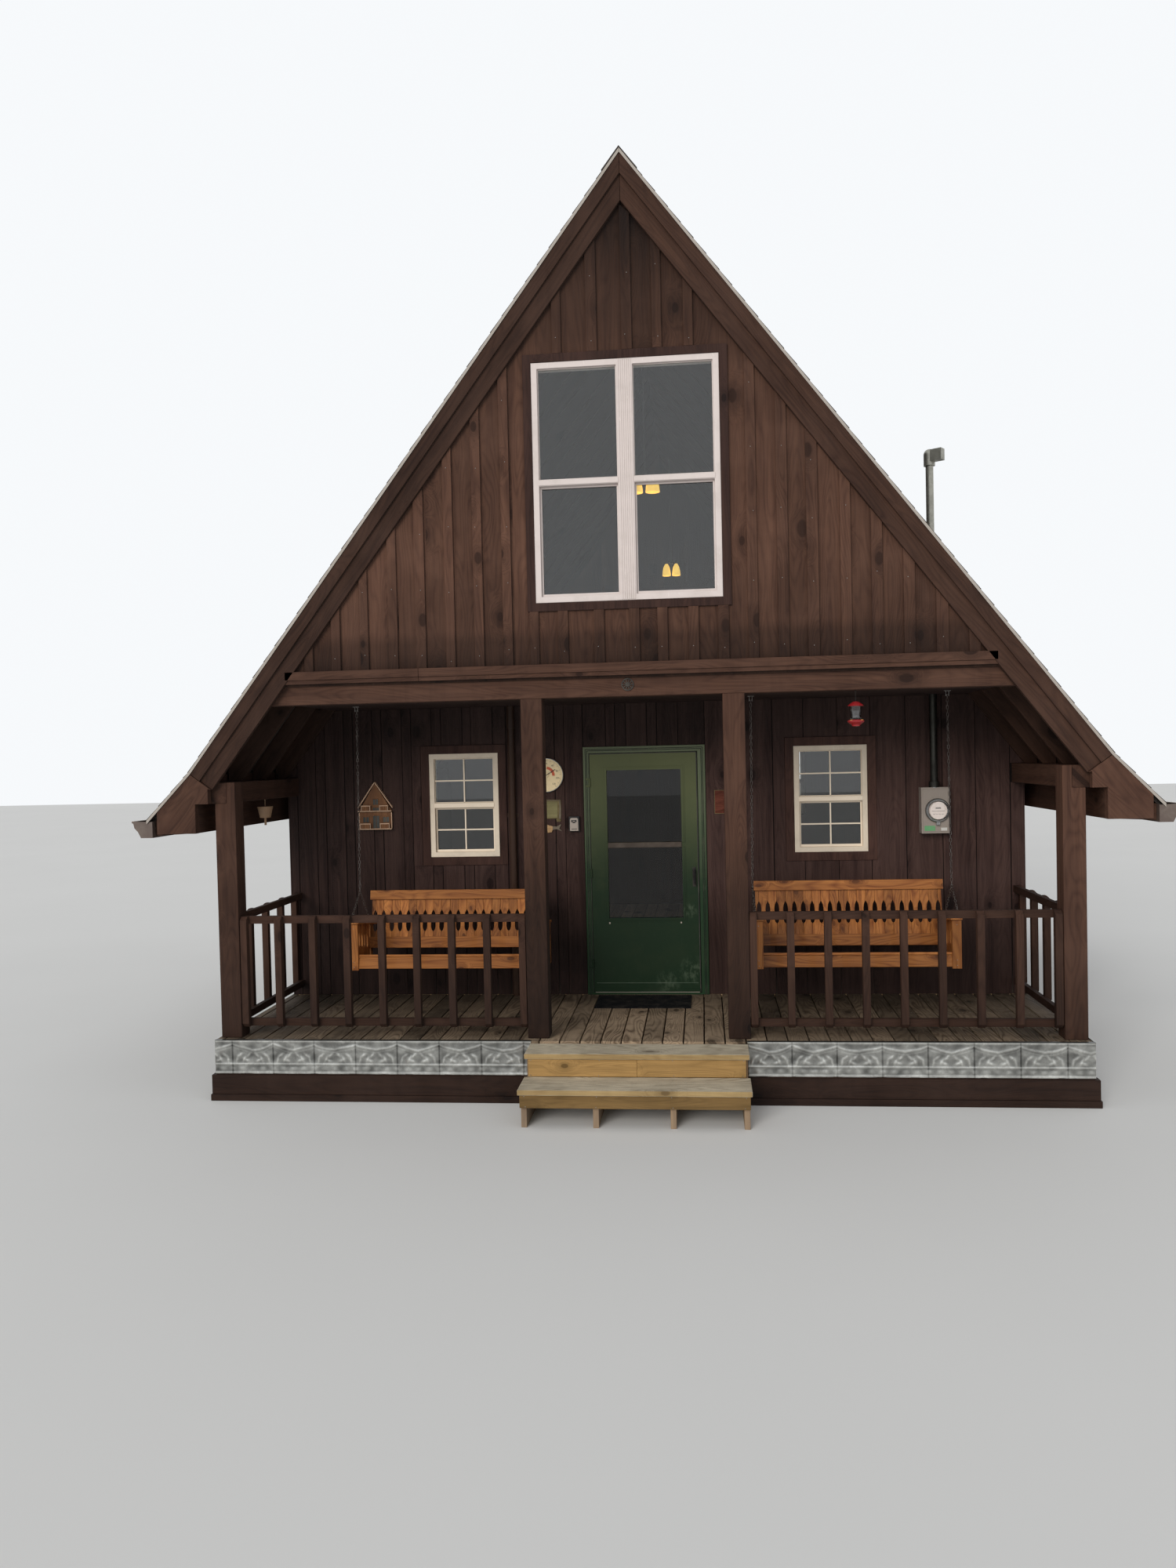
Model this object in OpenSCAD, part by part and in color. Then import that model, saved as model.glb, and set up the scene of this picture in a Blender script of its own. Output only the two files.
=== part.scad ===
/* [Size and roof] */
// Full width over the corner posts and side walls
building_width = 6096; // [5600:1:6600]
// Length from the front of the posts to the rear wall frame
building_length = 7315; // [6000:1:9000]
// Height of the porch deck above the ground
deck_height = 440; // [400:1:600]
// Height of the roof surface at the ridge above the deck
ridge_height = 6150; // [5900:1:6400]
// Height of the fold between main roof and eave above the deck
knee_height = 1939.6; // [1900:0.1:1990]
// Pitch of the flatter strip along each eave
eave_pitch = 46.3; // [44:0.1:49]
// Distance of the pitch change from the middle
knee_x = 3207.5; // [3190:0.5:3260]
// Distance of the eave edge from the middle
eave_x = 3532; // [3500:1:3600]
// Thickness of the roof boards with their shingles
roof_skin = 30; // [22:1:36]
// Depth of a rafter across its length
rafter_depth = 140; // [120:1:150]
// Thickness of rafters and joists
rafter_thick = 38; // [30:1:45]
// Count of rafter pairs
rafter_count = 16; // [10:1:18]

/* [Porch] */
// Distance from the front of the posts to the front wall
porch_depth = 1495; // [1400:1:1560]
// Side of the square posts
post_size = 152; // [130:1:165]
// Distance of the step posts from the middle
step_post_x = 709; // [680:1:760]
// Height of the underside of the porch beam above the deck
beam_bottom = 2410; // [2350:1:2420]
// Height of the porch beam itself
beam_height = 140; // [120:1:150]
// Width of the band board over the beam
band_width = 89; // [70:1:100]
// Thickness of the porch deck boards
deck_thick = 28; // [20:1:38]
// Distance the deck runs out in front of the posts
deck_lip = 70; // [40:1:90]
// Height of the pressed tin apron
apron_height = 240; // [200:1:250]

/* [Railings] */
// Height of the top of the rails above the deck
rail_top = 880; // [820:1:960]
// Height of each rail
rail_height = 55; // [40:1:70]
// Depth of each rail
rail_depth = 38; // [30:1:45]
// Height of the bottom rail's underside above the deck
rail_bottom = 75; // [50:1:120]
// Side of the square balusters
baluster_size = 50; // [38:1:60]
// Count of balusters in a front panel
baluster_count = 9; // [6:1:11]
// Count of balusters in a side panel
side_baluster_count = 5; // [3:1:7]

/* [Steps] */
// Width of the upper tread
tread_width = 1520; // [1400:1:1540]
// Depth of each tread
tread_depth = 286; // [250:1:300]
// Thickness of each tread
tread_thick = 36; // [28:1:40]
// Drop of the upper tread's top below the deck
upper_drop = 16; // [5:1:25]
// Drop of the lower tread's top below the deck
lower_drop = 175; // [160:1:190]
// Height of the lower riser board
riser_height = 89; // [80:1:110]

/* [Walls and openings] */
// Thickness of the outer walls
wall_thick = 120; // [100:1:140]
// Thickness of the siding on the gables
siding = 19; // [12:1:25]
// Side of the wall plates
plate_size = 152; // [130:1:160]
// Height of the underside of the wall plates above the deck
plate_bottom = 1712; // [1660:1:1740]
// Distance of the plates' inner faces from the middle
plate_x = 2960; // [2940:1:2975]
// Width of a lower window
window_width = 590; // [500:1:700]
// Height of a lower window
window_height = 872; // [780:1:900]
// Height of a lower window's sill above the deck
window_sill = 1170; // [1100:1:1200]
// Distance of the lower windows from the middle
window_x = 1522; // [1450:1:1600]
// Width of the twin gable window
gable_window_width = 1302; // [1200:1:1400]
// Gap from the gable window's casing up to the rake boards, at its corner
window_rake_gap = 78; // [50:1:160]
// Height of the gable window's sill above the deck
gable_window_sill = 3074; // [3000:1:3150]
// Height of the gable window at the back
rear_gable_height = 980; // [800:1:985]
// Width of the face of a window frame
frame_face = 42; // [34:1:50]
// Thickness of trim boards
trim_thick = 19; // [12:1:25]

/* [Door] */
// Left edge of the storm door
door_left = -452; // [-456:1:-448]
// Right edge of the storm door
door_right = 438; // [434:1:442]
// Height of the top of the storm door above the deck
door_top = 2016; // [1950:1:2020]
// Height of the storm door's bottom edge above the deck
door_bottom = 20; // [18:1:30]
// Thickness of the storm door
door_thick = 36; // [30:1:40]
// Running gap between the storm door and its frame
door_gap = 5; // [5:0.5:8]

// Left edge of the door's glass
glass_left = -312; // [-330:1:-290]
// Right edge of the door's glass
glass_right = 303; // [280:1:320]
// Height of the bottom of the door's glass above the deck
glass_bottom = 642; // [600:1:680]
// Height of the bar between the door's panes above the deck
glass_middle = 1250; // [1200:1:1300]
// Height of the top of the door's glass above the deck
glass_top = 1874; // [1820:1:1900]

/* [Swings] */
// Distance of the left swing's middle from the middle of the house
swing_left_x = 1510; // [1490:1:1530]
// Distance of the right swing's middle from the middle of the house
swing_right_x = 1598; // [1580:1:1610]
// Width of a swing over its seat rail
swing_width = 1510; // [1490:1:1540]
// Distance of the hooks from a swing's middle
hook_spread = 735; // [700:1:745]
// Radius of a hook's pin
hook_pin = 4; // [3:0.5:6]
// Distance of the seat rail's front behind the front of the posts
seat_front = 620; // [590:1:640]
// Distance of the seat's rear behind the front of the posts
seat_rear = 1050; // [1030:1:1060]
// Lean of a swing's back
back_lean = 10; // [6:0.5:12]
// Height of the foot of a swing's back above the deck
back_foot = 400; // [390:1:410]
// How much lower the left swing's slats stand than the right one's
left_slat_drop = 42; // [0:1:44]
// Slope of a swing's seat down to the back
seat_slope = 10.5; // [6:0.5:11]
// Slope of a swing's arms down to the back
arm_slope = 8; // [5:0.5:9]
// Height of the underside of the arms' front ends above the deck
arm_front = 738; // [725:1:745]
// Thickness of a swing's arms
arm_thick = 22; // [18:1:26]
// Distance of the swing hooks behind the front of the posts
hook_y = 880; // [860:1:900]
// Height of the hook pins above the deck
hook_z = 2400; // [2380:1:2405]
// Height of the seat's front edge above the deck
seat_height = 495; // [485:1:500]
// Count of the pointed slots in a swing's back
slot_count = 21; // [15:1:21]
// Distance from slot to slot
slot_pitch = 69; // [60:0.5:69]

/* [Meter and mast] */
// Centre line of the mast, right of the middle
mast_x = 2335; // [2280:1:2380]
// Radius of the mast
mast_r = 30; // [22:1:38]
// Height of the top of the mast's pipe above the deck
mast_top = 4290; // [4100:1:4600]
// Width of the meter box
meter_width = 220; // [180:1:260]
// Height of the meter box
meter_height = 370; // [320:1:420]
// Depth of the meter box
meter_depth = 112; // [90:1:130]
// Height of the meter box's underside above the deck
meter_bottom = 1315; // [1200:1:1400]
// Radius of the meter's ring
meter_ring = 96; // [88:1:104]
// Radius of the meter's glass
meter_glass = 82; // [70:1:86]

/* [Small things on the porch] */
// Distance of the brown wall pipe, left of the middle
pipe_x = 1107; // [1060:1:1120]
// Radius of the brown wall pipe
pipe_r = 29; // [20:1:34]
// Distance of the thermometer's centre, left of the middle
thermometer_x = 816; // [790:1:850]
// Height of the thermometer's centre above the deck
thermometer_z = 1845; // [1800:1:1950]
// Radius of the thermometer
thermometer_r = 142; // [120:1:150]
// Thickness of the thermometer
thermometer_thick = 28; // [15:1:40]
// Height of the upper sign's bottom edge above the deck
sign_bottom = 1458; // [1450:1:1500]
// Width of the upper sign
sign_width = 132; // [110:1:150]
// Height of the upper sign
sign_height = 183; // [150:1:200]
// Height of the middle of the fish board above the deck
fish_z = 1400; // [1380:1:1405]
// Height of the right sign's bottom edge above the deck
plaque_bottom = 1498; // [1450:1:1550]
// Height of the right sign
plaque_height = 195; // [170:1:220]
// Width of the right sign
plaque_width = 122; // [100:1:130]
// Distance of the wall ornament's middle, left of the middle
ornament_x = 2287; // [2260:1:2320]
// Height of the wall ornament's foot above the deck
ornament_bottom = 1415; // [1380:1:1450]
// Width of the wall ornament's body
ornament_width = 280; // [240:1:300]
// Height of the wall ornament
ornament_height = 400; // [360:1:430]
// Height of the key box's bottom edge above the deck
key_box_bottom = 1374; // [1330:1:1400]
// Height of the key box
key_box_height = 122; // [100:1:125]
// Distance of the hanging feeder, right of the middle
feeder_x = 1547; // [1500:1:1600]
// Distance from the beam down to the hanging feeder's foot
feeder_drop = 250; // [220:1:300]
// Distance of the cup feeder, left of the middle
cup_x = 3030; // [3015:1:3060]
// Distance of the cup feeder behind the post fronts
cup_y = 900; // [800:1:1000]
// Distance from the plate down to the cup's rim
cup_drop = 62; // [50:1:90]
// Height of the pull handle's middle above the deck
handle_z = 980; // [940:1:1050]
// Height of the lamps' glass above the deck
lamp_z = 4427; // [4380:1:4460]
// How much lower the rear lamp hangs
lamp_step = 153; // [100:1:200]
// Radius of a lamp's glass
lamp_r = 66; // [60:1:68]
// Width of the doormat
mat_width = 762; // [700:1:800]
// Depth of the doormat
mat_depth = 457; // [400:1:500]

/* [Hidden] */
rest_gap = 0.3;
slip = 0.5;
hair = 0.6;
half_width = building_width/2;
roof_pitch = atan((ridge_height - knee_height)/knee_x);
tan_main = tan(roof_pitch);
cos_main = cos(roof_pitch);
sin_main = sin(roof_pitch);
tan_eave = tan(eave_pitch);
cos_eave = cos(eave_pitch);
knee_z = knee_height;
eave_z = knee_z - (eave_x - knee_x)*tan_eave;
frame_under = roof_skin + rafter_depth;
rake_lap = 12;
rake_full = 208;
rake_trim_width = 89;
rake_trim_thick = 19;
rake_board_thick = 38;
siding_face = -siding;
rake_face = siding_face - rake_board_thick;
trim_face = rake_face - rake_trim_thick;
roof_front = trim_face - 4;
rear_siding = building_length + siding;
roof_rear = rear_siding + rake_board_thick + rake_trim_thick + 4;
beam_top = beam_bottom + beam_height;
ceiling_under = beam_bottom + 21;
ceiling_thick = 19;
joist_under = ceiling_under + ceiling_thick;
joist_height = 140;
loft_under = joist_under + joist_height;
loft_thick = 25;
loft_top = loft_under + loft_thick;
rafter_step = (building_length - rafter_thick)/(rafter_count - 1);
step_front = -deck_lip - 2*tread_depth - 12;
drip_thick = 2.5;
porch_line = -(step_front + roof_rear + drip_thick)/2;
plate_top = plate_bottom + plate_size;
plate_out = plate_x + plate_size;
post_in = half_width - post_size;
box_in = plate_out + 52;
box_out = eave_x - 77;
box_bottom = plate_bottom - 212;
fascia_out = box_out + 38;
gutter_out = fascia_out + 155;
gutter_top = eave_z - 4;
gutter_bottom = gutter_top - 122;
deck_side = half_width + 22;
apron_thick = 2;
timber_size = 140;
timber_proud = 6;
course_step = 8;
timber_top = -apron_height - 12;
timber_bottom = timber_top - timber_size;
mast_y = porch_depth - 75;
meter_top = meter_bottom + meter_height;
handle_x = door_right - 38;
mat_back = porch_depth - 78;
casing_wide = 58;
gable_window_top = ridge_height - tan_main*(gable_window_width/2 + casing_wide) - rake_full/cos_main
    - casing_wide - window_rake_gap;
gable_window_height = gable_window_top - gable_window_sill;
seat_rail = 89;
seat_board = 19;
seat_depth = seat_rear - seat_front;
arm_y = seat_front - 45;
arm_length = 542;
door_face = porch_depth - 24;
jamb_left = door_left - door_gap;
jamb_right = door_right + door_gap + 1.5;
jamb_top = door_top + door_gap;
hinge_y = door_face - 8.5;
casing_side = 505;
casing_top = 2071;
wall_hole_left = -475;
wall_hole_right = 475;
wall_hole_top = jamb_top + 20;

function under(x, t) = ridge_height - tan_main*x - t/cos_main;
function reach(z, t) = (ridge_height - t/cos_main - z)/tan_main;
function knee_at(t) = knee_x - (t/cos_main - t/cos_eave)/(tan_main - tan_eave);
function eave_under(x, t) = knee_z - tan_eave*(x - knee_x) - t/cos_eave;
function rafter_y(i) = i*rafter_step;
function spread(n, i, a, b) = a + (b - a)*i/(n - 1);
function arm_under(y) = arm_front - (y - arm_y)*tan(arm_slope);
function seat_at(y) = seat_height - (y - seat_front)*tan(seat_slope);

module porch() {
    translate([0, porch_line, deck_height]) children();
}

module block(x0, x1, y0, y1, z0, z1) {
    translate([x0, y0, z0]) cube([x1 - x0, y1 - y0, z1 - z0]);
}

module along_y(y0, y1) {
    translate([0, y1, 0]) rotate([90, 0, 0]) linear_extrude(y1 - y0) children();
}

module along_x(x0, x1) {
    translate([x0, 0, 0]) rotate([90, 0, 90]) linear_extrude(x1 - x0) children();
}

module both() {
    children();
    mirror([1, 0, 0]) children();
}

// Base and floors

module base_timbers() {
    color([0.22, 0.16, 0.15]) porch() {
        y0 = -deck_lip - timber_proud;
        y1 = building_length + 40;
        x1 = deck_side + 30;
        course(x1, y0, y1, timber_bottom, timber_top);
        course(x1 + course_step, y0 - course_step, y1 + course_step, -deck_height, timber_bottom - rest_gap);
    }
}

module course(x1, y0, y1, z0, z1) {
    block(-x1, x1, y0, y0 + timber_size, z0, z1);
    block(-x1, x1, y1 - timber_size, y1, z0, z1);
    for (y = [porch_depth - 20, (porch_depth + building_length)/2])
        block(-x1 + timber_size + 2, x1 - timber_size - 2, y, y + timber_size, z0, z1);
    both() block(x1 - timber_size, x1, y0 + timber_size + 2, y1 - timber_size - 2, z0, z1);
}

module floor_joists() {
    color([0.5, 0.4, 0.3]) porch() {
        z0 = timber_top + rest_gap;
        z1 = -deck_thick - rest_gap;
        x1 = deck_side - apron_thick - 1;
        block(-x1, x1, -deck_lip + apron_thick + 1, -deck_lip + apron_thick + 39, z0, z1);
        block(-x1, x1, building_length - 2, building_length + 36, z0, z1);
        both() block(x1 - 38, x1, -deck_lip + 43, building_length - 3, z0, z1);
        for (y = [spread(17, 1, 0, building_length):spread(17, 1, 0, building_length):building_length - 100])
            block(-x1 + 39, x1 - 39, y, y + 38, z0, z1);
    }
}

module porch_deck() {
    color([0.45, 0.38, 0.3]) porch() {
        block(-deck_side + 2.5, deck_side - 2.5, -deck_lip + 2.5, porch_depth - rest_gap, -deck_thick, 0);
    }
}

module house_floor() {
    color([0.5, 0.36, 0.24]) porch() {
        block(-half_width + 1, half_width - 1, porch_depth + rest_gap, building_length - rest_gap, -deck_thick, 0);
    }
}

module tin_apron() {
    color([0.6, 0.6, 0.58]) porch() {
        z0 = -2 - apron_height;
        z1 = 2;
        half_gap = tread_width/2 - 6;
        both() {
            block(half_gap, deck_side, -deck_lip, -deck_lip + apron_thick, z0, z1);
            block(half_gap, deck_side - 3, -deck_lip, -deck_lip + 22, rest_gap, z1);
            block(deck_side - apron_thick, deck_side, -deck_lip + apron_thick + 1, building_length + 36, z0, -1);
        }
        block(-deck_side + 3, deck_side - 3, building_length + 36 + rest_gap, building_length + 38, z0, -1);
    }
}

// Steps

module step_stringers() {
    color([0.55, 0.42, 0.26]) porch() {
        z1 = -upper_drop - tread_thick - rest_gap;
        z2 = -lower_drop - tread_thick - rest_gap;
        y0 = -deck_lip - timber_proud - course_step - rest_gap;
        y1 = -deck_lip - 3 - tread_depth + 60;
        for (x = [-tread_width/2 + 30, -tread_width/6, tread_width/6, tread_width/2 - 30])
            along_x(x - 19, x + 19)
                polygon([[y0, z1], [y0, -deck_height], [step_front + 60, -deck_height],
                    [step_front + 60, z2], [y1, z2], [y1, z1]]);
    }
}

module step_treads() {
    color([0.48, 0.44, 0.38]) porch() {
        y1 = -deck_lip - 1;
        y2 = y1 - tread_depth;
        block(-tread_width/2, tread_width/2, y2, y1, -upper_drop - tread_thick, -upper_drop);
        block(-tread_width/2 - 4, tread_width/2 + 4, step_front, y2 + 20, -lower_drop - tread_thick, -lower_drop);
    }
}

module step_risers() {
    color([0.72, 0.52, 0.28]) porch() {
        y1 = -deck_lip - 3 - tread_depth + 60 - rest_gap;
        z1 = -upper_drop - tread_thick - rest_gap;
        z2 = -lower_drop - tread_thick - rest_gap;
        for (s = [[-tread_width/2 + 24, 5], [6, tread_width/2 - 24]])
            block(s[0], s[1], y1 - 38, y1, -lower_drop + rest_gap, z1);
        block(-tread_width/2 + 8, tread_width/2 - 8, step_front + 22 - rest_gap,
            step_front + 60 - rest_gap, z2 - riser_height, z2);
    }
}

// Porch frame

module corner_posts() {
    color([0.27, 0.2, 0.19]) porch() both()
        along_y(0, post_size)
            polygon([[post_in, rest_gap], [half_width, rest_gap], [half_width, plate_bottom],
                [plate_x, plate_bottom], [plate_x, plate_top], [post_in, plate_top]]);
}

module step_posts() {
    color([0.27, 0.2, 0.19]) porch() both()
        block(step_post_x - post_size/2, step_post_x + post_size/2, 0, post_size, rest_gap, beam_bottom);
}

module porch_beam() {
    color([0.27, 0.2, 0.19]) porch() {
        x0 = reach(beam_bottom, frame_under) - hair;
        x1 = reach(beam_top, frame_under) - hair;
        along_y(0, 140) polygon([[-x0, beam_bottom], [x0, beam_bottom], [x1, beam_top], [-x1, beam_top]]);
    }
}

module band_board() {
    color([0.27, 0.2, 0.19]) porch() {
        z0 = beam_top + 5;
        x0 = reach(z0, rake_full) - hair;
        x1 = reach(z0 + band_width, rake_full) - hair;
        along_y(rake_face, siding_face)
            polygon([[-x0, z0], [x0, z0], [x1, z0 + band_width], [-x1, z0 + band_width]]);
    }
}

module wall_plates() {
    color([0.24, 0.17, 0.16]) porch() both()
        block(plate_x + rest_gap, plate_out, 0, building_length, plate_bottom, plate_top);
}

module rafters() {
    color([0.26, 0.19, 0.17]) porch()
        for (i = [0:rafter_count - 1]) both()
            along_y(rafter_y(i), rafter_y(i) + rafter_thick) rafter_shape();
}

module rafter_shape() {
    x1 = plate_out + 38;
    x2 = reach(plate_top, frame_under);
    t = roof_skin + rest_gap;
    polygon([[1, under(1, t)], [x1, under(x1, t)], [x1, under(x1, frame_under)],
        [plate_out + rest_gap, under(plate_out + rest_gap, frame_under)], [plate_out + rest_gap, plate_top],
        [x2, plate_top], [1, under(1, frame_under)]]);
}

module loft_joists() {
    color([0.4, 0.3, 0.22]) porch() {
        x0 = reach(joist_under, roof_skin) - hair;
        x1 = reach(loft_under, roof_skin) - hair;
        for (i = [1:rafter_count - 2])
            along_y(rafter_y(i) + rafter_thick, rafter_y(i) + 2*rafter_thick)
                polygon([[-x0, joist_under], [x0, joist_under], [x1, loft_under], [-x1, loft_under]]);
    }
}

module loft_floor() {
    color([0.5, 0.38, 0.26]) porch() difference() {
        x1 = reach(loft_top, frame_under) - hair;
        block(-x1, x1, 90, building_length - wall_thick - 1, loft_under, loft_top);
        mast_hole(loft_under - 10, loft_top + 10);
    }
}

module porch_ceiling() {
    color([0.25, 0.18, 0.16]) porch() difference() {
        x1 = reach(joist_under, frame_under) - 5;
        block(-x1, x1, 140 + hair, porch_depth - rest_gap, ceiling_under, joist_under);
        mast_hole(ceiling_under - 10, joist_under + 10);
    }
}

module mast_hole(z0, z1) {
    translate([mast_x, mast_y, z0]) cylinder(h = z1 - z0, r = mast_r + 2, $fn = 32);
}

// Roof

module slope(t0, t1) {
    k0 = knee_at(t0);
    k1 = knee_at(t1);
    polygon([[0, under(0, t0)], [k0, under(k0, t0)], [eave_x, eave_under(eave_x, t0)],
        [eave_x, eave_under(eave_x, t1)], [k1, under(k1, t1)], [0, under(0, t1)]]);
}

module roof_half() {
    along_y(siding_face, rear_siding) slope(0, roof_skin);
    along_y(roof_front, roof_rear) slope(0, rake_lap - rest_gap);
}

module roof_left() {
    color([0.2, 0.18, 0.17]) porch() mirror([1, 0, 0]) roof_half();
}

module roof_right() {
    color([0.2, 0.18, 0.17]) porch() difference() {
        roof_half();
        mast_hole(under(mast_x, 0) - 400, under(mast_x, 0) + 400);
    }
}

module ridge_cap() {
    color([0.14, 0.12, 0.12]) porch() along_y(roof_front, roof_rear) {
        w = 150*cos_main;
        z1 = 9/cos_main;
        polygon([[0, ridge_height + z1], [w, ridge_height + z1 - w*tan_main], [w, ridge_height + hair - w*tan_main],
            [0, ridge_height + hair], [-w, ridge_height + hair - w*tan_main], [-w, ridge_height + z1 - w*tan_main]]);
    }
}

module drip_edges() {
    color([0.66, 0.63, 0.6]) porch() both() {
        drip_edge(roof_front - drip_thick, roof_front);
        drip_edge(roof_rear, roof_rear + drip_thick);
    }
}

module drip_edge(y0, y1) {
    along_y(y0, y1) difference() {
        slope(0, rake_lap + 5);
        translate([-9, 4000]) square([10, 3000]);
    }
}

module rake_boards() {
    color([0.26, 0.19, 0.18]) porch() both() {
        rake_board(rake_face, siding_face - rest_gap, rake_lap, rake_full);
        rake_board(rear_siding + rest_gap, rear_siding + rake_board_thick, rake_lap, rake_full);
    }
}

module rake_trim() {
    color([0.26, 0.19, 0.18]) porch() both() {
        rake_board(trim_face, rake_face - rest_gap, rake_lap, rake_lap + rake_trim_width);
        rake_board(rear_siding + rake_board_thick + rest_gap, roof_rear - 4, rake_lap, rake_lap + rake_trim_width);
    }
}

module rake_board(y0, y1, t0, t1) {
    xa = knee_x - t0*sin_main - 1;
    xb = knee_x - t1*sin_main - 1;
    along_y(y0, y1)
        polygon([[1, under(1, t0)], [xa, under(xa, t0)], [xb, under(xb, t1)], [1, under(1, t1)]]);
}

module eave_panels() {
    color([0.28, 0.21, 0.2]) porch() both() {
        eave_panel(trim_face, siding_face - rest_gap);
        eave_panel(rear_siding + rest_gap, roof_rear - 4);
    }
}

module eave_panel(y0, y1) {
    ka = knee_at(rake_lap);
    xa = knee_x - rake_full*sin_main + 1;
    za = knee_z - rake_full*cos_main - 1;
    along_y(y0, y1)
        polygon([[ka + 1.6, eave_under(ka + 1.6, rake_lap)], [box_out, eave_under(box_out, rake_lap)],
            [box_out, box_bottom], [box_in, box_bottom], [box_in, plate_bottom],
            [half_width + 18, plate_bottom], [half_width + 18, za + 8], [xa + 2, za + 2]]);
}

module eave_boxes() {
    color([0.22, 0.16, 0.15]) porch() both() along_y(siding_face, rear_siding)
        polygon([[box_in, box_bottom + 1], [fascia_out, box_bottom - 14],
            [fascia_out, eave_under(fascia_out, roof_skin) - hair], [box_out, eave_under(fascia_out, roof_skin) - hair],
            [box_out, box_bottom + 20], [box_in + 19, box_bottom + 20],
            [box_in + 19, under(box_in + 19, roof_skin) - hair], [box_in, under(box_in + 19, roof_skin) - hair]]);
}

module gutters() {
    color([0.36, 0.3, 0.28]) porch() both() along_y(roof_front + 10, roof_rear - 10) {
        a = fascia_out + rest_gap;
        t = 3;
        back = eave_under(a + t, roof_skin) - hair;
        polygon([[a, back], [a, gutter_bottom], [a + 88, gutter_bottom], [a + 110, gutter_bottom + 44],
            [a + 136, gutter_bottom + 72], [a + 144, gutter_top - 16], [gutter_out, gutter_top - 12],
            [gutter_out, gutter_top - 2], [a + 130, gutter_top], [a + 130, gutter_top - t],
            [gutter_out - 12, gutter_top - 5], [a + 140, gutter_top - 11], [a + 132, gutter_bottom + 74],
            [a + 107, gutter_bottom + 46], [a + 86, gutter_bottom + t], [a + t, gutter_bottom + t],
            [a + t, back]]);
    }
}

// Walls

module opening_cut(x, z, w, h, y0, y1) {
    block(x - w/2, x + w/2, y0, y1, z, z + h);
}

module gable_wall_front() {
    color([0.28, 0.2, 0.18]) porch() difference() {
        union() {
            x0 = reach(beam_top - 9, roof_skin) - hair;
            along_y(siding_face, -rest_gap)
                polygon([[-x0, beam_top - 9], [x0, beam_top - 9], [0, under(0, roof_skin) - hair]]);
            x1 = reach(beam_top + rest_gap, frame_under) - hair;
            along_y(-1, 89)
                polygon([[-x1, beam_top + rest_gap], [x1, beam_top + rest_gap], [0, under(0, frame_under) - hair]]);
        }
        opening_cut(0, gable_window_sill - hair, gable_window_width + 2*hair, gable_window_height + 2*hair, -50, 120);
    }
}

module wall_outline() {
    z0 = rest_gap;
    x1 = plate_out;
    difference() {
        polygon([[-half_width, z0], [half_width, z0], [half_width, plate_bottom - rest_gap],
            [plate_x - hair, plate_bottom - rest_gap], [plate_x - hair, plate_top + hair], [x1, plate_top + hair],
            [x1, under(x1, roof_skin) - hair], [reach(joist_under, roof_skin) - 1, joist_under],
            [-reach(joist_under, roof_skin) + 1, joist_under], [-x1, under(x1, roof_skin) - hair],
            [-x1, plate_top + hair], [-plate_x + hair, plate_top + hair], [-plate_x + hair, plate_bottom - rest_gap],
            [-half_width, plate_bottom - rest_gap]]);
        for (s = [-1, 1])
            translate([s*window_x - window_width/2 - hair, window_sill - hair])
                square([window_width + 2*hair, window_height + 2*hair]);
    }
}

module front_wall_piece(x0, x1, z0) {
    along_y(porch_depth, porch_depth + wall_thick) intersection() {
        wall_outline();
        translate([x0, z0]) square([x1 - x0, 5000]);
    }
}

module front_wall_left() {
    color([0.18, 0.13, 0.12]) porch() front_wall_piece(-4000, wall_hole_left, 0);
}

module front_wall_right() {
    color([0.18, 0.13, 0.12]) porch() front_wall_piece(wall_hole_right, 4000, 0);
}

module front_wall_over_door() {
    color([0.18, 0.13, 0.12]) porch()
        front_wall_piece(wall_hole_left + rest_gap, wall_hole_right - rest_gap, wall_hole_top);
}

module side_walls() {
    color([0.24, 0.17, 0.16]) porch() both()
        block(half_width - wall_thick, half_width, porch_depth + wall_thick + rest_gap,
            building_length - wall_thick - rest_gap, rest_gap, plate_bottom - rest_gap);
}

module back_wall() {
    color([0.26, 0.18, 0.17]) porch() difference() {
        union() {
            along_y(building_length - wall_thick, building_length - rest_gap) intersection() {
                translate([-plate_x + hair, 0]) square([2*plate_x - 2*hair, 6000]);
                polygon([[-plate_x, rest_gap], [plate_x, rest_gap], [plate_x, under(plate_x, frame_under) - hair],
                    [0, under(0, frame_under) - hair], [-plate_x, under(plate_x, frame_under) - hair]]);
            }
            both() block(plate_x - 10, half_width, building_length - wall_thick, building_length - rest_gap,
                rest_gap, plate_bottom - rest_gap);
            along_y(building_length + rest_gap, rear_siding) back_skin();
            along_y(building_length - 20, rear_siding - 2) intersection() {
                back_skin();
                translate([-2500, 200]) square([5000, 1400]);
            }
        }
        for (s = [-1, 1])
            opening_cut(s*window_x, window_sill - hair, window_width + 2*hair, window_height + 2*hair,
                building_length - 200, building_length + 60);
        opening_cut(0, gable_window_sill - hair, gable_window_width + 2*hair, rear_gable_height + 2*hair,
            building_length - 200, building_length + 60);
    }
}

module back_skin() {
    x1 = plate_out;
    z1 = under(x1, roof_skin) - hair;
    polygon([[-half_width, rest_gap], [half_width, rest_gap], [half_width, plate_bottom],
        [x1, plate_bottom], [x1, z1], [0, under(0, roof_skin) - hair], [-x1, z1], [-x1, plate_bottom],
        [-half_width, plate_bottom]]);
}

// Windows

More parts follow.
